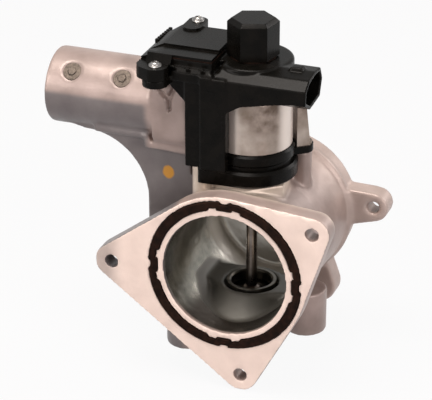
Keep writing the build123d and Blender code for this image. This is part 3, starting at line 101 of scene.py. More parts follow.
camera_data = bpy.data.cameras.new("camera")
camera_data.lens = LENS
camera_data.sensor_width = SENSOR
camera_data.clip_end = 20
camera = bpy.data.objects.new("camera", camera_data)
camera.location = towards_camera * DISTANCE + right * SLIDE_RIGHT + up * SLIDE_UP
camera.rotation_euler = (-towards_camera).to_track_quat("-Z", "Y").to_euler()
bpy.context.scene.collection.objects.link(camera)
bpy.context.scene.camera = camera
bpy.context.scene.view_settings.view_transform = "Standard"
print("camera at", [round(v, 3) for v in camera.location])


# %% [markdown]
# The floor is pale and takes a soft shadow. The camera, and every mirror-like surface, sees mostly the floor's own
# white, so the background stays clean without more light on the object. The alternative is to light the floor until
# it clips, but then the metal clips too.

# %% Floor
FLOOR_Z = cad_box[0][2] - 0.3 * MM
FLOOR_HALF = 3.0
FLOOR_SHOWN_WHITE = 0.93
FLOOR_MATTE = (0.42, 0.40, 0.42, 1)


def node_of(tree, kind, **settings):
    """Adds a shader or geometry node and sets its plain properties."""
    node = tree.nodes.new(kind)
    for key, value in settings.items():
        setattr(node, key, value)
    return node


def seen_directly(tree):
    """A socket that is 1 for rays that see a thing directly, in a mirror or through glass."""
    rays = node_of(tree, "ShaderNodeLightPath")
    camera_or_mirror = node_of(tree, "ShaderNodeMath", operation="MAXIMUM")
    any_of_them = node_of(tree, "ShaderNodeMath", operation="MAXIMUM")
    tree.links.new(rays.outputs["Is Camera Ray"], camera_or_mirror.inputs[0])
    tree.links.new(rays.outputs["Is Glossy Ray"], camera_or_mirror.inputs[1])
    tree.links.new(camera_or_mirror.outputs[0], any_of_them.inputs[0])
    tree.links.new(rays.outputs["Is Transmission Ray"], any_of_them.inputs[1])
    return any_of_them.outputs[0]


floor_mesh = bpy.data.meshes.new("floor")
floor_mesh.from_pydata(
    [(x * FLOOR_HALF, y * FLOOR_HALF, FLOOR_Z) for x, y in ((-1, -1), (1, -1), (1, 1), (-1, 1))],
    [],
    [(0, 1, 2, 3)],
)
floor = bpy.data.objects.new("floor", floor_mesh)
bpy.context.scene.collection.objects.link(floor)

floor_paint = bpy.data.materials.new("floor_paint")
floor_paint.use_nodes = True
tree = floor_paint.node_tree
tree.nodes.clear()
share = node_of(tree, "ShaderNodeMath", operation="MULTIPLY")
share.inputs[1].default_value = FLOOR_SHOWN_WHITE
matte = node_of(tree, "ShaderNodeBsdfDiffuse")
matte.inputs["Color"].default_value = FLOOR_MATTE
white = node_of(tree, "ShaderNodeEmission")
mix = node_of(tree, "ShaderNodeMixShader")
out = node_of(tree, "ShaderNodeOutputMaterial")
tree.links.new(seen_directly(tree), share.inputs[0])
tree.links.new(share.outputs[0], mix.inputs[0])
tree.links.new(matte.outputs[0], mix.inputs[1])
tree.links.new(white.outputs[0], mix.inputs[2])
tree.links.new(mix.outputs[0], out.inputs[0])
floor_mesh.materials.append(floor_paint)
print("floor at", round(FLOOR_Z / MM, 1), "mm")

# %% [markdown]
# The world does the same: white where it is seen, and a weak fill where it only lights. Three soft round lamps then
# give the light its direction. The large one hangs above and a little in front, as a product table's tent top does.

# %% World and lamps
WORLD_FILL = 0.24
LAMPS = {
    "overhead": ((-0.15, -0.15, 1.05), 0.6, 13.5, (1.0, 0.93, 0.87)),
    "front_left": ((-0.75, -0.95, 0.55), 0.7, 8.6, (1.0, 0.93, 0.89)),
    "back_right": ((0.75, 0.85, 0.5), 0.5, 3.5, (1.0, 0.95, 0.93)),
    "front_right": ((0.95, -0.55, 0.45), 0.55, 6.4, (1.0, 0.92, 0.90)),
}

world = bpy.data.worlds.new("studio")
bpy.context.scene.world = world
world.use_nodes = True
tree = world.node_tree
tree.nodes.clear()
strength = node_of(tree, "ShaderNodeMapRange")
strength.inputs["To Min"].default_value = WORLD_FILL
strength.inputs["To Max"].default_value = 1.0
sky = node_of(tree, "ShaderNodeBackground")
out = node_of(tree, "ShaderNodeOutputWorld")
tree.links.new(seen_directly(tree), strength.inputs["Value"])
tree.links.new(strength.outputs[0], sky.inputs["Strength"])
tree.links.new(sky.outputs[0], out.inputs[0])

for name, (place, size, power, tint) in LAMPS.items():
    lamp = bpy.data.lights.new(name, "AREA")
    lamp.shape = "DISK"
    lamp.size = size
    lamp.energy = power
    lamp.color = tint
    holder = bpy.data.objects.new(name, lamp)
    holder.location = place
    holder.rotation_euler = (-Vector(place)).to_track_quat("-Z", "Y").to_euler()
    bpy.context.scene.collection.objects.link(holder)
print("lamps:", sorted(LAMPS))


# %% [markdown]
# Nearly every finish here has the same three layers: a colour that drifts a little over the surface, a roughness that
# drifts too, and a fine relief. One helper builds the layers, and each finish gives it its own numbers.
# Painted pictures would also work, but they blur close up and have to be unwrapped.

# %% A helper for finishes
def object_place(tree, stretch=(1, 1, 1)):
    """A point's place in the object, stretched along each axis."""
    place = node_of(tree, "ShaderNodeTexCoord")
    turn = node_of(tree, "ShaderNodeMapping")
    turn.inputs["Scale"].default_value = stretch
    tree.links.new(place.outputs["Object"], turn.inputs["Vector"])
    return turn.outputs["Vector"]


def noise_of(tree, place, size_mm, detail=3):
    """Cloudy noise whose patches are about that size."""
    noise = node_of(tree, "ShaderNodeTexNoise")
    noise.inputs["Scale"].default_value = 1 / (size_mm * MM)
    noise.inputs["Detail"].default_value = detail
    tree.links.new(place, noise.inputs["Vector"])
    return noise.outputs["Fac"]


def two_tone(tree, value, low, high, span=(0.32, 0.68)):
    """A colour between two, chosen by a value."""
    ramp = node_of(tree, "ShaderNodeValToRGB")
    for element, position, colour in zip(ramp.color_ramp.elements, span, (low, high)):
        element.position = position
        element.color = (*colour, 1)
    tree.links.new(value, ramp.inputs["Fac"])
    return ramp.outputs["Color"]


def ranged(tree, value, low, high):
    """A value spread over a new range."""
    spread = node_of(tree, "ShaderNodeMapRange")
    spread.inputs["To Min"].default_value = low
    spread.inputs["To Max"].default_value = high
    tree.links.new(value, spread.inputs["Value"])
    return spread.outputs["Result"]


def relief_of(tree, height, strength, depth_mm, under=None):
    """Turns a height into a fine relief, over another relief where one is given."""
    bump = node_of(tree, "ShaderNodeBump")
    bump.inputs["Strength"].default_value = strength
    bump.inputs["Distance"].default_value = depth_mm * MM
    tree.links.new(height, bump.inputs["Height"])
    if under is not None:
        tree.links.new(under, bump.inputs["Normal"])
    return bump.outputs["Normal"]


def layered(name, low, high, rough, patch_mm, metal=0.0, grain_mm=0.5, relief=0.1, relief_mm=0.05,
            stretch=(1, 1, 1), **extra):
    """A finish whose colour runs from low to high in patches, with a fine relief of that grain."""
    paint = bpy.data.materials.new(name)
    paint.use_nodes = True
    tree = paint.node_tree
    shader = tree.nodes["Principled BSDF"]
    shader.inputs["Metallic"].default_value = metal
    for socket, value in extra.items():
        shader.inputs[socket.replace("_", " ")].default_value = value
    patches = noise_of(tree, object_place(tree), patch_mm, 4)
    grain = noise_of(tree, object_place(tree, stretch), grain_mm)
    tree.links.new(two_tone(tree, patches, low, high), shader.inputs["Base Color"])
    tree.links.new(ranged(tree, patches, *rough), shader.inputs["Roughness"])
    tree.links.new(relief_of(tree, grain, relief, relief_mm), shader.inputs["Normal"])
    return paint


print("finish helpers ready")

# %% [markdown]
# Rubber, steel, plastic and plating differ mostly in three numbers: how dark they are, how rough, and whether they
# mirror like a metal. Black plastic mirrors very little head on and more at a glancing angle, so its specular level
# is low: its fronts stay black while its tops turn grey.

# %% Finishes for the small parts
finishes = {
    "black_seal": layered("black_seal", (0.006, 0.003, 0.002), (0.02, 0.009, 0.006), (0.55, 0.75), 2.5,
                          grain_mm=0.4, relief=0.35, Specular_IOR_Level=0.06),
    "plug_steel": layered("plug_steel", (0.05, 0.038, 0.03), (0.14, 0.112, 0.09), (0.35, 0.6), 1.2, metal=0.7,
                          grain_mm=0.5, relief=0.7, relief_mm=0.15),
    "seat_steel": layered("seat_steel", (0.06, 0.054, 0.045), (0.14, 0.128, 0.108), (0.28, 0.42), 5, metal=1.0),
    "bronze_bush": layered("bronze_bush", (0.45, 0.32, 0.15), (0.6, 0.45, 0.25), (0.25, 0.4), 5, metal=1.0),
    "valve_steel": layered("valve_steel", (0.12, 0.098, 0.085), (0.24, 0.205, 0.18), (0.22, 0.36), 7, metal=1.0,
                           stretch=(1, 1, 0.1)),
    "black_plastic": layered("black_plastic", (0.0022, 0.0020, 0.0016), (0.0050, 0.0042, 0.0034), (0.2, 0.34), 7,
                             grain_mm=0.35, relief=0.22, Specular_IOR_Level=0.07),
    "can_steel": layered("can_steel", (0.17, 0.125, 0.095), (0.44, 0.375, 0.33), (0.26, 0.4), 13, metal=0.6,
                         relief=0.06, stretch=(1, 1, 0.15)),
    "soft_iron": layered("soft_iron", (0.3, 0.29, 0.28), (0.45, 0.44, 0.43), (0.3, 0.45), 6, metal=1.0),
    "copper_wire": layered("copper_wire", (0.5, 0.2, 0.08), (0.7, 0.32, 0.14), (0.25, 0.4), 4, metal=0.9),
    "spring_steel": layered("spring_steel", (0.3, 0.3, 0.31), (0.45, 0.45, 0.46), (0.25, 0.4), 4, metal=1.0),
    "screw_steel": layered("screw_steel", (0.20, 0.194, 0.188), (0.32, 0.31, 0.30), (0.3, 0.45), 2, metal=1.0),
    "pin_tin": layered("pin_tin", (0.6, 0.58, 0.54), (0.75, 0.73, 0.7), (0.2, 0.3), 3, metal=1.0),
    "board_green": layered("board_green", (0.01, 0.12, 0.04), (0.02, 0.2, 0.07), (0.3, 0.4), 5),
}
print("small finishes:", len(finishes))

# %% [markdown]
# The casting shows three surfaces. The skin is as it left the mould, dull and darker. The flange faces are machined,
# so they are pale and even. The gas side is filmed with soot, greenish grey and blotched.
# Where each one lies follows from plain geometry, so the finish reads a point's own place in the part: close to the
# flange plane it is machined, and inside the duct's radius it is sooty. A dab of orange marking paint on the web is
# mixed in the same way. The same masks also paint shade under the gas pipe and on the web, paint light on the neck
# and at the bore's far end, and darken the bore's floor near its mouth. Separate materials would need cuts in the
# mesh wherever one surface runs into the next.

# %% Helpers for mixed finishes
def worked_out(tree, operation, first, second=None, third=None):
    """One step of arithmetic between sockets or plain numbers."""
    step = node_of(tree, "ShaderNodeMath", operation=operation)
    for place, value in enumerate((first, second, third)):
        if value is None:
            continue
        if isinstance(value, (int, float)):
            step.inputs[place].default_value = value
        else:
            tree.links.new(value, step.inputs[place])
    return step.outputs[0]


def product_of(tree, first, *others):
    """All the values multiplied together."""
    for value in others:
        first = worked_out(tree, "MULTIPLY", first, value)
    return first


def distance_of(tree, first, second):
    """How far a point is from an axis, given its two distances across that axis."""
    squares = worked_out(tree, "MULTIPLY_ADD", first, first, worked_out(tree, "MULTIPLY", second, second))
    return worked_out(tree, "SQRT", squares)


def between(tree, value, span_mm):
    """Runs softly from 0 to 1 while a length goes from one end of a span to the other, in millimetres."""
    spread = node_of(tree, "ShaderNodeMapRange", interpolation_type="SMOOTHSTEP")
    spread.inputs["From Min"].default_value = span_mm[0] * MM
    spread.inputs["From Max"].default_value = span_mm[1] * MM
    tree.links.new(value, spread.inputs["Value"])
    return spread.outputs["Result"]


def blend_of(tree, kind, amount, first, second):
    """Mixes two colours or two values by an amount."""
    mixer = node_of(tree, "ShaderNodeMix", data_type=kind)
    sockets = {"FLOAT": (0, 2, 3, 0), "RGBA": (0, 6, 7, 2)}[kind]
    for place, value in zip(sockets, (amount, first, second)):
        if isinstance(value, (tuple, float)):
            mixer.inputs[place].default_value = value
        else:
            tree.links.new(value, mixer.inputs[place])
    return mixer.outputs[sockets[3]]


print("mixing helpers ready")

# %% Where each surface of the casting lies
# Each span is in millimetres, from where a surface's finish starts to where it is full.
BORE_R = 31.2
STEM_Y = 40.0
BORE_EDGE = (BORE_R + 0.5, BORE_R)
BORE_MOUTH_Y = (0.6, 3.0)
INLET_FACE_Y = (0.5, 0.1)
OUTLET_FACE_Y = (LENGTH - 0.5, LENGTH - 0.1)
# The inlet face's machined colour falls to half towards its left corner, so the face is darker there.
DARKER_CORNER_X = (-70, -50)
DARKER_CORNER_SHARE = 0.5
FLARE_Y = (50, 84)
FLARE_R = (32, 35)
FLARE_SHARE = 0.22
# Painted shade: the skin under the gas pipe and on the web is made darker.
UNDER_PIPE_Z = (73, 70)
UNDER_PIPE_X = (-47, -51)
WEB_Z = (50, 46)
WEB_X = (-22, -28)
# Painted light: the neck between the flange and the actuator is made paler.
NECK_NEAR_Y = (6, 12)
NECK_FAR_Y = (50, 44)
NECK_Z = (28, 34)
NECK_X = (-26, -22)
PEDESTAL_R = (29, 26)
PEDESTAL_Z = (-16, -18)
# Painted light: the far end of the bore is made pale.
DEEP_Y = (52, 66)
# The bore's floor near its mouth is made darker.
BORE_FLOOR_Z = (-20, -26)
BORE_FLOOR_Y = (30, 16)
DAB_CENTRE = (-39.6, 30.0, 35.2)
DAB_SIZE = (3.0, 2.0, 3.3)
DAB_EDGE = (1.45, 1.15)
DAB_RAGGED = 0.6
print("bore radius:", BORE_R, "mm")

# %% The casting's finish
SKIN = ((0.26, 0.199, 0.178), (0.37, 0.287, 0.260))
# Painted shade colour for the skin under the gas pipe and on the web.
PAINTED_SHADE_SKIN = ((0.125, 0.108, 0.108), (0.175, 0.155, 0.153))
# Painted light colour for the neck.
NECK_PAINTED_LIGHT = (0.62, 0.525, 0.44, 1)
MACHINED = ((0.74, 0.60, 0.53), (0.85, 0.70, 0.62))
SOOT = ((0.20, 0.192, 0.165), (0.32, 0.305, 0.265))
PEDESTAL_FILM = (0.125, 0.118, 0.102, 1)
# A darker colour for the bore's floor near its mouth.
BORE_FLOOR_DARKER = (0.085, 0.070, 0.058, 1)
# Painted light colour for the far end of the bore.
FAR_BORE_PAINTED_LIGHT = (0.70, 0.66, 0.60, 1)
MARKING_ORANGE = (0.52, 0.24, 0.022, 1)
ROUGH_SKIN, ROUGH_MACHINED, ROUGH_SOOT, ROUGH_PEDESTAL = (0.30, 0.48), (0.42, 0.5), (0.16, 0.26), 0.45
METAL_SKIN, METAL_MACHINED, METAL_SOOT, METAL_DEEP, METAL_PEDESTAL = 0.22, 0.15, 0.95, 0.35, 0.3
CLOUD_MM, BLOTCH_MM, GRAIN_MM, RIPPLE_MM = 14, 5, 0.55, 4.5
RIPPLE_RELIEF = (0.25, 0.5)
GRAIN_RELIEF = (0.4, 0.1)

cast_paint = bpy.data.materials.new("cast_aluminium")
cast_paint.use_nodes = True
tree = cast_paint.node_tree
shader = tree.nodes["Principled BSDF"]
clouds = noise_of(tree, object_place(tree), CLOUD_MM, 4)
blotches = noise_of(tree, object_place(tree), BLOTCH_MM, 5)
grain = noise_of(tree, object_place(tree), GRAIN_MM, 4)
ripples = noise_of(tree, object_place(tree), RIPPLE_MM, 2)
axes = node_of(tree, "ShaderNodeSeparateXYZ")
tree.links.new(object_place(tree), axes.inputs[0])
x_place, y_place, z_place = axes.outputs
from_duct = distance_of(tree, x_place, z_place)
from_stem = distance_of(tree, x_place, worked_out(tree, "SUBTRACT", y_place, STEM_Y * MM))

in_bore = product_of(tree, between(tree, from_duct, BORE_EDGE), between(tree, y_place, BORE_MOUTH_Y))
off_corner = worked_out(tree, "MAXIMUM", DARKER_CORNER_SHARE, between(tree, x_place, DARKER_CORNER_X))
on_inlet = product_of(tree, between(tree, y_place, INLET_FACE_Y), off_corner)
on_outlet = between(tree, y_place, OUTLET_FACE_Y)
on_flare = product_of(tree, between(tree, y_place, FLARE_Y), between(tree, from_duct, FLARE_R), FLARE_SHARE)
machined = worked_out(tree, "MAXIMUM", on_inlet, worked_out(tree, "MAXIMUM", on_outlet, on_flare))
shade_under_pipe = product_of(tree, between(tree, z_place, UNDER_PIPE_Z), between(tree, x_place, UNDER_PIPE_X))
shade_on_web = product_of(tree, between(tree, z_place, WEB_Z), between(tree, x_place, WEB_X))
painted_light_on_neck = product_of(
    tree,
    between(tree, y_place, NECK_NEAR_Y),
    between(tree, y_place, NECK_FAR_Y),
    between(tree, z_place, NECK_Z),
    between(tree, x_place, NECK_X),
)
on_pedestal = product_of(tree, between(tree, from_stem, PEDESTAL_R), between(tree, z_place, PEDESTAL_Z))
painted_light_far_bore = between(tree, y_place, DEEP_Y)
on_floor = product_of(tree, between(tree, z_place, BORE_FLOOR_Z), between(tree, y_place, BORE_FLOOR_Y))

dab_place = node_of(tree, "ShaderNodeMapping", vector_type="TEXTURE")
dab_place.inputs["Location"].default_value = Vector(DAB_CENTRE) * MM
dab_place.inputs["Scale"].default_value = Vector(DAB_SIZE) * MM
tree.links.new(object_place(tree), dab_place.inputs["Vector"])
dab_reach = node_of(tree, "ShaderNodeVectorMath", operation="LENGTH")
tree.links.new(dab_place.outputs[0], dab_reach.inputs[0])
ragged = product_of(tree, blotches, DAB_RAGGED)
dabbed = node_of(tree, "ShaderNodeMapRange")
dabbed.inputs["From Min"].default_value, dabbed.inputs["From Max"].default_value = DAB_EDGE
tree.links.new(worked_out(tree, "ADD", dab_reach.outputs["Value"], ragged), dabbed.inputs["Value"])
dab = dabbed.outputs[0]

skin = two_tone(tree, clouds, *SKIN)
# Painted shade under the gas pipe and on the web.
painted_shade = worked_out(tree, "MAXIMUM", shade_under_pipe, shade_on_web)
skin = blend_of(tree, "RGBA", painted_shade, skin, two_tone(tree, clouds, *PAINTED_SHADE_SKIN))
# Painted light on the neck.
skin = blend_of(tree, "RGBA", painted_light_on_neck, skin, NECK_PAINTED_LIGHT)
bare = blend_of(tree, "RGBA", machined, skin, two_tone(tree, clouds, *MACHINED))
marked = blend_of(tree, "RGBA", dab, bare, MARKING_ORANGE)
# Soot, with painted light at the bore's far end.
soot_and_painted_light = blend_of(tree, "RGBA", painted_light_far_bore, two_tone(tree, blotches, *SOOT), FAR_BORE_PAINTED_LIGHT)
# The bore's floor near its mouth is made darker.
soot_and_painted_light = blend_of(tree, "RGBA", on_floor, soot_and_painted_light, BORE_FLOOR_DARKER)
soot_and_painted_light = blend_of(tree, "RGBA", on_pedestal, soot_and_painted_light, PEDESTAL_FILM)
tree.links.new(blend_of(tree, "RGBA", in_bore, marked, soot_and_painted_light), shader.inputs["Base Color"])

rough_skin = ranged(tree, blotches, *ROUGH_SKIN)
rough_bare = blend_of(tree, "FLOAT", machined, rough_skin, ranged(tree, clouds, *ROUGH_MACHINED))
rough_film = blend_of(tree, "FLOAT", on_pedestal, ranged(tree, blotches, *ROUGH_SOOT), ROUGH_PEDESTAL)
tree.links.new(blend_of(tree, "FLOAT", in_bore, rough_bare, rough_film), shader.inputs["Roughness"])

metal_bare = blend_of(tree, "FLOAT", machined, METAL_SKIN, METAL_MACHINED)
metal_film = blend_of(tree, "FLOAT", painted_light_far_bore, METAL_SOOT, METAL_DEEP)
metal_film = blend_of(tree, "FLOAT", on_pedestal, metal_film, METAL_PEDESTAL)
metal = blend_of(tree, "FLOAT", in_bore, metal_bare, metal_film)
tree.links.new(blend_of(tree, "FLOAT", dab, metal, 0.0), shader.inputs["Metallic"])

waves = relief_of(tree, ripples, *RIPPLE_RELIEF)
tree.links.new(relief_of(tree, grain, *GRAIN_RELIEF, under=waves), shader.inputs["Normal"])
finishes["cast_aluminium"] = cast_paint
print("casting finish:", len(tree.nodes), "nodes")

# %% [markdown]
# The can is tinned steel. Its left and right sides are painted lighter, as painted highlights, and the band between
# them is painted brown, as a painted dark reflection. These go over the finish that it already has, so only their
# places and colours are new. The strap shares that finish, and a limit on the radius keeps the painted highlights on
# the can alone.

# %% The can's painted highlights and painted reflection
# Painted highlights on the can's left and right sides.
CAN_PAINTED_HIGHLIGHT = (0.72, 0.635, 0.575, 1)
# Painted dark reflection, in brown, on the upper right of the can.
CAN_PAINTED_REFLECTION = ((0.11, 0.075, 0.055), (0.34, 0.275, 0.235))
CAN_HIGHLIGHT_LEFT_X = (2, -5)
CAN_HIGHLIGHT_RIGHT_X = (15.5, 18.5)
CAN_REFLECTION_X = (3, 8)
CAN_REFLECTION_Z = (62, 70)
CAN_WALL_R = (20.2, 19.6)
CAN_PATCH_MM = 6

tree = finishes["can_steel"].node_tree
shader = tree.nodes["Principled BSDF"]
plain = shader.inputs["Base Color"].links[0].from_socket
axes = node_of(tree, "ShaderNodeSeparateXYZ")
tree.links.new(object_place(tree), axes.inputs[0])
x_place, y_place, z_place = axes.outputs
patches = noise_of(tree, object_place(tree), CAN_PATCH_MM, 4)
from_stem = distance_of(tree, x_place, worked_out(tree, "SUBTRACT", y_place, STEM_Y * MM))
# Painted dark reflection on the upper right of the can.
painted_reflection = product_of(tree, between(tree, x_place, CAN_REFLECTION_X), between(tree, z_place, CAN_REFLECTION_Z))
# Painted highlights on the left and right of the can wall.
painted_highlights = worked_out(tree, "MAXIMUM", between(tree, x_place, CAN_HIGHLIGHT_LEFT_X), between(tree, x_place, CAN_HIGHLIGHT_RIGHT_X))
painted_highlights = product_of(tree, painted_highlights, between(tree, from_stem, CAN_WALL_R))
with_painted_reflection = blend_of(tree, "RGBA", painted_reflection, plain, two_tone(tree, patches, *CAN_PAINTED_REFLECTION))
tree.links.new(blend_of(tree, "RGBA", painted_highlights, with_painted_reflection, CAN_PAINTED_HIGHLIGHT), shader.inputs["Base Color"])

slot_of = {part["node"]: part["material_slot"] for part in frame["record"]["subparts"]}
for name, node in nodes.items():
    node.data.materials.clear()
    node.data.materials.append(finishes[slot_of[name]])
print("finishes:", len(finishes))


# %% [markdown]
# Every piece goes through the same few steps: copy a solid, change its mesh, shade it evenly, and link it with its
# finish and the body that it rides on. Each step is a small function, so the cells below only say what is special.
# Doing the steps by hand in the viewport would also work, but not twice in the same way.

# %% Helpers for pieces
WELD = 0.002 * MM
FACE_WEIGHT = 80


def new_piece(name, mesh, slot, body="valve_body", smooth=True):
    """Links a mesh as a finished piece, riding on a body and taking its slot's finish."""
    mesh.name = name
    piece = bpy.data.objects.new(name, mesh)
    bpy.context.scene.collection.objects.link(piece)
    mesh.materials.clear()
    mesh.materials.append(finishes[slot])
    mesh.polygons.foreach_set("material_index", [0] * len(mesh.polygons))
    mesh.polygons.foreach_set("use_smooth", [smooth] * len(mesh.polygons))
    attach(piece, body)
    return piece


def merged_copy(node):
    """A copy of a solid's mesh with its loose triangles welded together."""
    mesh = bpy.data.meshes.new(node + "_copy")
    shape = bmesh.new()
    shape.from_mesh(nodes[node].data)
    bmesh.ops.remove_doubles(shape, verts=shape.verts, dist=WELD)
    shape.to_mesh(mesh)
    shape.free()
    return mesh


def worked(mesh, kind, **settings):
    """The mesh after one modifier."""
    holder = bpy.data.objects.new("work", mesh)
    bpy.context.scene.collection.objects.link(holder)
    change = holder.modifiers.new("work", kind)
    for key, value in settings.items():
        setattr(change, key, value)
    view = bpy.context.evaluated_depsgraph_get()
    result = bpy.data.meshes.new_from_object(holder.evaluated_get(view))
    bpy.data.objects.remove(holder)
    return result


def points_of(mesh):
    """The mesh's points as rows of x, y, z in metres."""
    flat = np.empty(len(mesh.vertices) * 3)
    mesh.vertices.foreach_get("co", flat)
    return flat.reshape(-1, 3)


def relax(mesh, weight, rounds, pull, push):
    """Moves each point towards its neighbours and back out again, as far as its weight allows."""
    ends = np.empty(len(mesh.edges) * 2, dtype=np.int64)
    mesh.edges.foreach_get("vertices", ends)
    a, b = ends.reshape(-1, 2).T
    place = points_of(mesh)
    links = np.bincount(a, minlength=len(place)) + np.bincount(b, minlength=len(place))
    for step in range(rounds * 2):
        middle = np.empty_like(place)
        for axis in range(3):
            middle[:, axis] = np.bincount(a, place[b, axis], len(place))
            middle[:, axis] += np.bincount(b, place[a, axis], len(place))
        middle /= links[:, None]
        place += (middle - place) * (weight * (pull if step % 2 == 0 else push))[:, None]
    mesh.vertices.foreach_set("co", place.ravel())
    mesh.update()


def evenly_shaded(mesh):
    """The mesh with normals that follow its larger faces, so that flat faces look flat right up to a soft edge."""
    mesh.polygons.foreach_set("use_smooth", [True] * len(mesh.polygons))
    return worked(mesh, "WEIGHTED_NORMAL", mode="FACE_AREA", weight=FACE_WEIGHT)


def thinned(mesh, triangles):
    """The mesh with no more than that many triangles."""
    count = sum(len(face.vertices) - 2 for face in mesh.polygons)
    if count <= triangles:
        return mesh
    return worked(mesh, "DECIMATE", ratio=triangles / count)


print("piece helpers ready")

# %% [markdown]
# The casting carries small forms that only a pattern maker would notice: a bead along the foot of the gas pipe and
# under the elbow, and the sloping flank beside the valve seat. Each is drawn as a flat outline and given a thickness,
# and is then rebuilt together with the body, so that it grows out of the metal with a soft foot. A forked groove on
# the elbow goes the other way: the body's points are pressed in along its three lines.

# %% Ribs of the casting
FORK_WIDTH = 1.4
FORK_DEPTH = 2.6
FORK_BACK_Y = 25.5
FORK_ROUNDING = 0.6
FORK_LINES = (
    ((-41.2, 79.6), (-36.7, 76.4)),
    ((-34.0, 83.0), (-36.7, 76.4)),
    ((-36.7, 76.4), (-36.7, 71.0)),
)
BEADS = (
    (((-76.0, 53.6), (-50.0, 53.4)), 3.0, (27.0, 31.0)),
    (((-50.0, 53.0), (-48.6, 50.4)), 3.4, (26.4, 31.0)),
    (((-49.0, 50.0), (-27.0, 49.0)), 3.6, (25.8, 31.0)),
)
FLANK_TOP = ((-31.0, 52.0), (-25.2, 34.0), (-20.4, 20.0), (-31.0, 20.0))
FLANK_SUNK = 4
FLANK_LEVELS = ((-24.5, -19.2), (-24.5, -19.4), (-32.0, -24.4), (-32.0, -24.4))


def slab(shape, corners, near, far):
    """Adds a closed slab between two rings of corners, each corner given in millimetres by a function."""
    rings = [[shape.verts.new(Vector(place(corner)) * MM) for corner in corners] for place in (near, far)]
    shape.faces.new(rings[0])
    shape.faces.new(rings[1][::-1])
    for i in range(len(corners)):
        j = (i + 1) % len(corners)
        shape.faces.new((rings[0][i], rings[1][i], rings[1][j], rings[0][j]))


def bar_outline(start, end, width):
    """The four corners of a bar between two points, a little longer than the line."""
    a, b = Vector(start), Vector(end)
    along = (b - a).normalized() * width / 2
    across = Vector((-along.y, along.x))
    corners = (a - along - across, b + along - across, b + along + across, a - along + across)
    return [tuple(corner) for corner in corners]


def bar(shape, line, width, levels):
    """Adds a bar along a line in the x-z plane, between two levels of y."""
    near, far = ((lambda corner, y=y: (corner[0], y, corner[1])) for y in levels)
    slab(shape, bar_outline(*line, width), near, far)


def closed_mesh(name, shape):
    """Turns a drawn shape into a mesh whose faces point outward."""
    bmesh.ops.recalc_face_normals(shape, faces=shape.faces)
    mesh = bpy.data.meshes.new(name)
    shape.to_mesh(mesh)
    shape.free()
    return mesh


ribs = bmesh.new()
for line, width, levels in BEADS:
    bar(ribs, line, width, levels)
flank_level = dict(zip(FLANK_TOP, FLANK_LEVELS))
slab(
    ribs,
    FLANK_TOP,
    lambda corner: (corner[0], corner[1], flank_level[corner][0] - FLANK_SUNK),
    lambda corner: (corner[0], corner[1], flank_level[corner][1]),
)
rib_mesh = closed_mesh("ribs", ribs)
print("rib faces:", len(rib_mesh.polygons))

# %% [markdown]
# The body is an aluminium casting. A casting has no sharp inner corners: metal flows round them, so every meeting of
# two walls is a small hollow. Bevelling edges one by one would take hundreds of choices.
# Rebuilding the solid from small cubes and then relaxing its points rounds them all at once. Near the machined faces
# the points move less, and the faces themselves are put back in their planes afterwards, so that they stay flat.

# %% Body of the casting
CAST_VOXEL = 0.7 * MM
CAST_ROUNDS = 14
CAST_PULL = 0.6
CAST_PUSH = -0.35
CAST_TRIANGLES = 190_000
FACE_DEPTH = 3.4
FACE_SKIM = 0.3
FACE_HOLD = 0.5


def joined(*meshes):
    """One mesh from several."""
    shape = bmesh.new()
    for mesh in meshes:
        shape.from_mesh(mesh)
    result = bpy.data.meshes.new("joined")
    shape.to_mesh(result)
    shape.free()
    return result


def reach_to(x, z, line):
    """Each point's distance from a line between two points of the x-z plane."""
    (ax, az), (bx, bz) = line
    square = (bx - ax) ** 2 + (bz - az) ** 2
    along = np.clip(((x - ax) * (bx - ax) + (z - az) * (bz - az)) / square, 0, 1)
    return np.hypot(x - ax - along * (bx - ax), z - az - along * (bz - az))


cast_mesh = joined(merged_copy("valve_housing"), rib_mesh)
cast_mesh = worked(cast_mesh, "REMESH", mode="VOXEL", voxel_size=CAST_VOXEL)
x, y, z = points_of(cast_mesh).T / MM
kept_y = y.copy()
on_faces = (y < FACE_SKIM) | (y > LENGTH - FACE_SKIM)
weight = np.ones(len(x))
weight[(y < FACE_DEPTH) | (y > LENGTH - FACE_DEPTH)] = FACE_HOLD
relax(cast_mesh, weight, CAST_ROUNDS, CAST_PULL, CAST_PUSH)
place = points_of(cast_mesh)
place[on_faces, 1] = kept_y[on_faces] * MM
x, z = place[:, 0] / MM, place[:, 2] / MM
reach = np.min([reach_to(x, z, line) for line in FORK_LINES], axis=0)
dent = np.clip(1 - reach / FORK_WIDTH, 0, 1) ** FORK_ROUNDING * (place[:, 1] < FORK_BACK_Y * MM)
place[:, 1] += dent * FORK_DEPTH * MM
cast_mesh.vertices.foreach_set("co", place.ravel())
cast_mesh = evenly_shaded(thinned(cast_mesh, CAST_TRIANGLES))
cast_body = new_piece("cast_body", cast_mesh, "cast_aluminium")
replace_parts(cast_body, "valve_housing")
print("casting:", len(cast_mesh.vertices), "points,", len(cast_mesh.polygons), "faces")

# %% [markdown]
# The black housing is one moulding with many shapes run together: dome, column, plug socket, tray and lip. It is
# rebuilt from small cubes as the casting was, with smaller cubes and fewer rounds, because a mould has tighter radii.

# %% Black housing
MOULD_VOXEL = 0.45 * MM
MOULD_ROUNDS = 9
MOULD_PULL = 0.6
MOULD_PUSH = -0.4
MOULD_TRIANGLES = 150_000

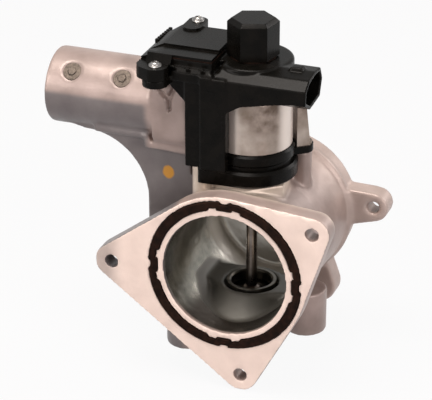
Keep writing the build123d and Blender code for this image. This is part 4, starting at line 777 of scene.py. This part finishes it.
mould_mesh = worked(merged_copy("actuator_housing"), "REMESH", mode="VOXEL", voxel_size=MOULD_VOXEL)
relax(mould_mesh, np.ones(len(mould_mesh.vertices)), MOULD_ROUNDS, MOULD_PULL, MOULD_PUSH)
mould_mesh = evenly_shaded(thinned(mould_mesh, MOULD_TRIANGLES))
moulded_housing = new_piece("moulded_housing", mould_mesh, "black_plastic")
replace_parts(moulded_housing, "actuator_housing")
print("housing:", len(mould_mesh.polygons), "faces")

# %% [markdown]
# Smaller moulded and pressed parts have flat faces and small, even edge radii. Here the triangles of each solid are
# first joined into whole faces, and then the Bevel modifier rounds every edge that is sharper than a set angle.

# %% Softened parts
SOFT_ANGLE = math.radians(28)
FLAT_ANGLE = math.radians(4)
SOFT_PARTS = {
    "actuator_base": ("base_moulding", 0.45),
    "electronics_cover": ("box_cover", 0.4),
    "hex_cap": ("sensor_cap", 0.45),
    "solenoid_can": ("coil_can", 1.2),
    "yoke_bracket": ("yoke_strap", 0.3),
    "inlet_flange_seal": ("inlet_seal", 0.35),
    "outlet_flange_seal": ("outlet_seal", 0.35),
    "valve_seat_ring": ("seat_ring", 0.2),
    "pipe_port_plugs": ("port_plugs", 0.35),
}


def whole_faces(mesh):
    """Joins a mesh's triangles into flat faces."""
    shape = bmesh.new()
    shape.from_mesh(mesh)
    bmesh.ops.dissolve_limit(shape, angle_limit=FLAT_ANGLE, verts=shape.verts, edges=shape.edges)
    shape.to_mesh(mesh)
    shape.free()
    return mesh


def edged(mesh, width_mm, segments=2):
    """The mesh with its sharp edges rounded to one width."""
    return worked(mesh, "BEVEL", width=width_mm * MM, segments=segments, limit_method="ANGLE",
                  angle_limit=SOFT_ANGLE)


for node, (name, width) in SOFT_PARTS.items():
    mesh = evenly_shaded(edged(whole_faces(merged_copy(node)), width))
    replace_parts(new_piece(name, mesh, slot_of[node]), node)
    print(name, len(mesh.polygons), "faces")


# %% [markdown]
# Screws, ribs and pads repeat, so each is drawn once in Geometry Nodes and placed on points. The sizes are named
# inputs, so one tree makes both kinds of screw. Copying meshes by hand would give the same picture, but a later change
# of size would have to be made in every copy.

# %% Helpers for repeated parts
def new_tree(name, sizes):
    """A geometry tree with named size inputs, and its input and output nodes."""
    tree = bpy.data.node_groups.new(name, "GeometryNodeTree")
    tree.interface.new_socket("Geometry", in_out="INPUT", socket_type="NodeSocketGeometry")
    for label, kind in sizes.items():
        tree.interface.new_socket(label, in_out="INPUT", socket_type="NodeSocket" + kind)
    tree.interface.new_socket("Geometry", in_out="OUTPUT", socket_type="NodeSocketGeometry")
    return tree, tree.nodes.new("NodeGroupInput"), tree.nodes.new("NodeGroupOutput")


def fed(tree, kind, inputs, **settings):
    """Adds a node and feeds each named or numbered input with a socket or a plain value."""
    node = node_of(tree, kind, **settings)
    for key, value in inputs.items():
        if isinstance(value, bpy.types.NodeSocket):
            tree.links.new(value, node.inputs[key])
        else:
            node.inputs[key].default_value = value
    return node


def grown(points, tree, **sizes):
    """The mesh that a tree grows on these points, in metres."""
    mesh = bpy.data.meshes.new(tree.name)
    mesh.from_pydata([tuple(Vector(point) * MM) for point in points], [], [])
    holder = bpy.data.objects.new("grow", mesh)
    bpy.context.scene.collection.objects.link(holder)
    change = holder.modifiers.new("grow", "NODES")
    change.node_group = tree
    for item in tree.interface.items_tree:
        if item.in_out == "INPUT" and item.name in sizes:
            change[item.identifier] = sizes[item.name]
    view = bpy.context.evaluated_depsgraph_get()
    result = bpy.data.meshes.new_from_object(holder.evaluated_get(view))
    bpy.data.objects.remove(holder)
    return result


# %% Button-headed screws
SCREW_SIDES = 32
BALL_RINGS = 16
CROWN_SHARE = 0.86
WASHER_SHARE = 0.3
SCREW_EDGE = 0.12
TURN_SEED = 4
SCREW_POINTS = {
    "cover_screws": ((-38.8, 12.0, 98.0), (-35.2, 59.5, 104.0)),
    "actuator_screws": ((20.2, 55.75, 50.8), (-20.2, 24.25, 50.8)),
}
SCREW_SIZES = {
    "cover_screws": {
        "head_radius": 3.0, "head_height": 2.2, "socket_radius": 1.55, "shank_radius": 1.55, "shank_length": 8.0},
    "actuator_screws": {
        "head_radius": 3.2, "head_height": 2.6, "socket_radius": 1.9, "shank_radius": 1.95, "shank_length": 16.0},
}
screw_tree, given, made = new_tree("screw", {
    "head_radius": "Float", "head_height": "Float", "socket_radius": "Float", "shank_radius": "Float",
    "shank_length": "Float", "turn_seed": "Int"})
size = given.outputs


def times(value, share):
    """A size of the screw times a plain number."""
    return fed(screw_tree, "ShaderNodeMath", {0: value, 1: share}, operation="MULTIPLY").outputs[0]


half_height = times(size["head_height"], 0.5)
half_length = times(size["shank_length"], -0.5)
washer_height = times(size["head_height"], WASHER_SHARE)
washer_level = times(washer_height, 0.5)
crown_radius = times(size["head_radius"], CROWN_SHARE)


def lifted(geometry, height, scale=None):
    """Moves geometry up by a height, and may stretch it."""
    level = fed(screw_tree, "ShaderNodeCombineXYZ", {"Z": height}).outputs[0]
    move = fed(screw_tree, "GeometryNodeTransform", {"Geometry": geometry, "Translation": level})
    if scale is not None:
        screw_tree.links.new(scale, move.inputs["Scale"])
    return move.outputs[0]


ball = fed(screw_tree, "GeometryNodeMeshUVSphere", {
    "Segments": SCREW_SIDES, "Rings": BALL_RINGS, "Radius": 1.0}).outputs[0]
crown_size = fed(screw_tree, "ShaderNodeCombineXYZ", {
    "X": crown_radius, "Y": crown_radius, "Z": size["head_height"]}).outputs[0]
crown = lifted(ball, 0.0, crown_size)
keeper = fed(screw_tree, "GeometryNodeMeshCylinder", {
    "Vertices": SCREW_SIDES, "Radius": size["head_radius"], "Depth": size["head_height"]}).outputs[0]
keeper = lifted(keeper, half_height)
crown = fed(screw_tree, "GeometryNodeMeshBoolean", {"Mesh 2": crown}, operation="INTERSECT")
screw_tree.links.new(keeper, crown.inputs["Mesh 2"])
socket = fed(screw_tree, "GeometryNodeMeshCylinder", {
    "Vertices": 6, "Radius": size["socket_radius"], "Depth": size["head_height"]}).outputs[0]
socket = lifted(socket, size["head_height"])
bored = fed(screw_tree, "GeometryNodeMeshBoolean", {"Mesh 1": crown.outputs[0], "Mesh 2": socket},
            operation="DIFFERENCE").outputs[0]
washer = fed(screw_tree, "GeometryNodeMeshCylinder", {
    "Vertices": SCREW_SIDES, "Radius": size["head_radius"], "Depth": washer_height}).outputs[0]
shank = fed(screw_tree, "GeometryNodeMeshCylinder", {
    "Vertices": SCREW_SIDES, "Radius": size["shank_radius"], "Depth": size["shank_length"]}).outputs[0]
whole = node_of(screw_tree, "GeometryNodeJoinGeometry")
for piece in (lifted(shank, half_length), lifted(washer, washer_level), bored):
    screw_tree.links.new(piece, whole.inputs[0])
turns = fed(screw_tree, "FunctionNodeRandomValue", {
    0: (0, 0, 0), 1: (0, 0, math.radians(60)), "Seed": size["turn_seed"]}, data_type="FLOAT_VECTOR").outputs[0]
placed = fed(screw_tree, "GeometryNodeInstanceOnPoints", {
    "Points": size["Geometry"], "Instance": whole.outputs[0], "Rotation": turns}).outputs[0]
real = fed(screw_tree, "GeometryNodeRealizeInstances", {"Geometry": placed}).outputs[0]
dressed = fed(screw_tree, "GeometryNodeSetMaterial", {"Geometry": real, "Material": finishes["screw_steel"]})
screw_tree.links.new(dressed.outputs[0], made.inputs[0])

for node, points in SCREW_POINTS.items():
    sizes = {name: value * MM for name, value in SCREW_SIZES[node].items()}
    mesh = grown(points, screw_tree, turn_seed=TURN_SEED, **sizes)
    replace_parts(new_piece("button_" + node, evenly_shaded(edged(mesh, SCREW_EDGE)), slot_of[node]), node)
    print(node, len(mesh.polygons), "faces")

# %% Rows of small blocks
ROWS = {
    "cover_ribs": (7, (-48.3, 38.6, 98.9), (-48.3, 56.0, 98.2), (1.8, 1.7, 3.0), 0.35),
    "shoulder_pads": (3, (-31.6, 16.1, 97.1), (-17.2, 16.1, 97.1), (2.6, 1.5, 0.9), 0.3),
}
row_tree, given, made = new_tree("row", {"count": "Int", "start": "Vector", "end": "Vector", "size": "Vector"})
line = fed(row_tree, "GeometryNodeMeshLine", {
    "Count": given.outputs["count"], "Start Location": given.outputs["start"], "Offset": given.outputs["end"]},
    mode="END_POINTS").outputs[0]
block = fed(row_tree, "GeometryNodeMeshCube", {"Size": given.outputs["size"]}).outputs[0]
placed = fed(row_tree, "GeometryNodeInstanceOnPoints", {"Points": line, "Instance": block}).outputs[0]
real = fed(row_tree, "GeometryNodeRealizeInstances", {"Geometry": placed}).outputs[0]
dressed = fed(row_tree, "GeometryNodeSetMaterial", {"Geometry": real, "Material": finishes["black_plastic"]})
row_tree.links.new(dressed.outputs[0], made.inputs[0])

for name, (count, start, end, block_size, edge) in ROWS.items():
    mesh = grown([(0, 0, 0)], row_tree, count=count, start=Vector(start) * MM, end=Vector(end) * MM,
                 size=Vector(block_size) * MM)
    new_piece(name, evenly_shaded(edged(mesh, edge, 3)), "black_plastic")
    print(name, count, "blocks")

# %% [markdown]
# The return spring is a real coil. A spiral curve carries a round wire, which is how a spring is wound on a mandrel.
# It stands on the base and is pressed flat by the retainer when the valve opens.

# %% Return spring
SPRING_PLACE = (0.0, 40.0, 37.9)
SPRING_SIZES = {"coil_radius": 6.9, "wire_radius": 0.88, "coil_height": 12.9}
SPRING_TURNS = 4.5

spring_tree, given, made = new_tree("spring", {
    "coil_radius": "Float", "wire_radius": "Float", "coil_height": "Float", "turns": "Float"})
size = given.outputs
path = fed(spring_tree, "GeometryNodeCurveSpiral", {
    "Resolution": 32, "Rotations": size["turns"], "Start Radius": size["coil_radius"],
    "End Radius": size["coil_radius"], "Height": size["coil_height"]}).outputs[0]
wire = fed(spring_tree, "GeometryNodeCurvePrimitiveCircle", {
    "Resolution": 12, "Radius": size["wire_radius"]}, mode="RADIUS").outputs[0]
coil = fed(spring_tree, "GeometryNodeCurveToMesh", {
    "Curve": path, "Profile Curve": wire, "Fill Caps": True}).outputs[0]
placed = fed(spring_tree, "GeometryNodeInstanceOnPoints", {
    "Points": size["Geometry"], "Instance": coil}).outputs[0]
real = fed(spring_tree, "GeometryNodeRealizeInstances", {"Geometry": placed}).outputs[0]
dressed = fed(spring_tree, "GeometryNodeSetMaterial", {"Geometry": real, "Material": finishes["spring_steel"]})
spring_tree.links.new(dressed.outputs[0], made.inputs[0])
spring_sizes = {name: value * MM for name, value in SPRING_SIZES.items()}
spring_mesh = grown([SPRING_PLACE], spring_tree, turns=SPRING_TURNS, **spring_sizes)
coil_spring = new_piece("coil_spring", spring_mesh, "spring_steel")
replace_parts(coil_spring, "return_spring")
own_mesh(coil_spring)
print("spring:", len(spring_mesh.polygons), "faces")

# %% [markdown]
# The last cell prints the size of the solid model.

# %% Size of the solid model
print("solids:", cad_box)
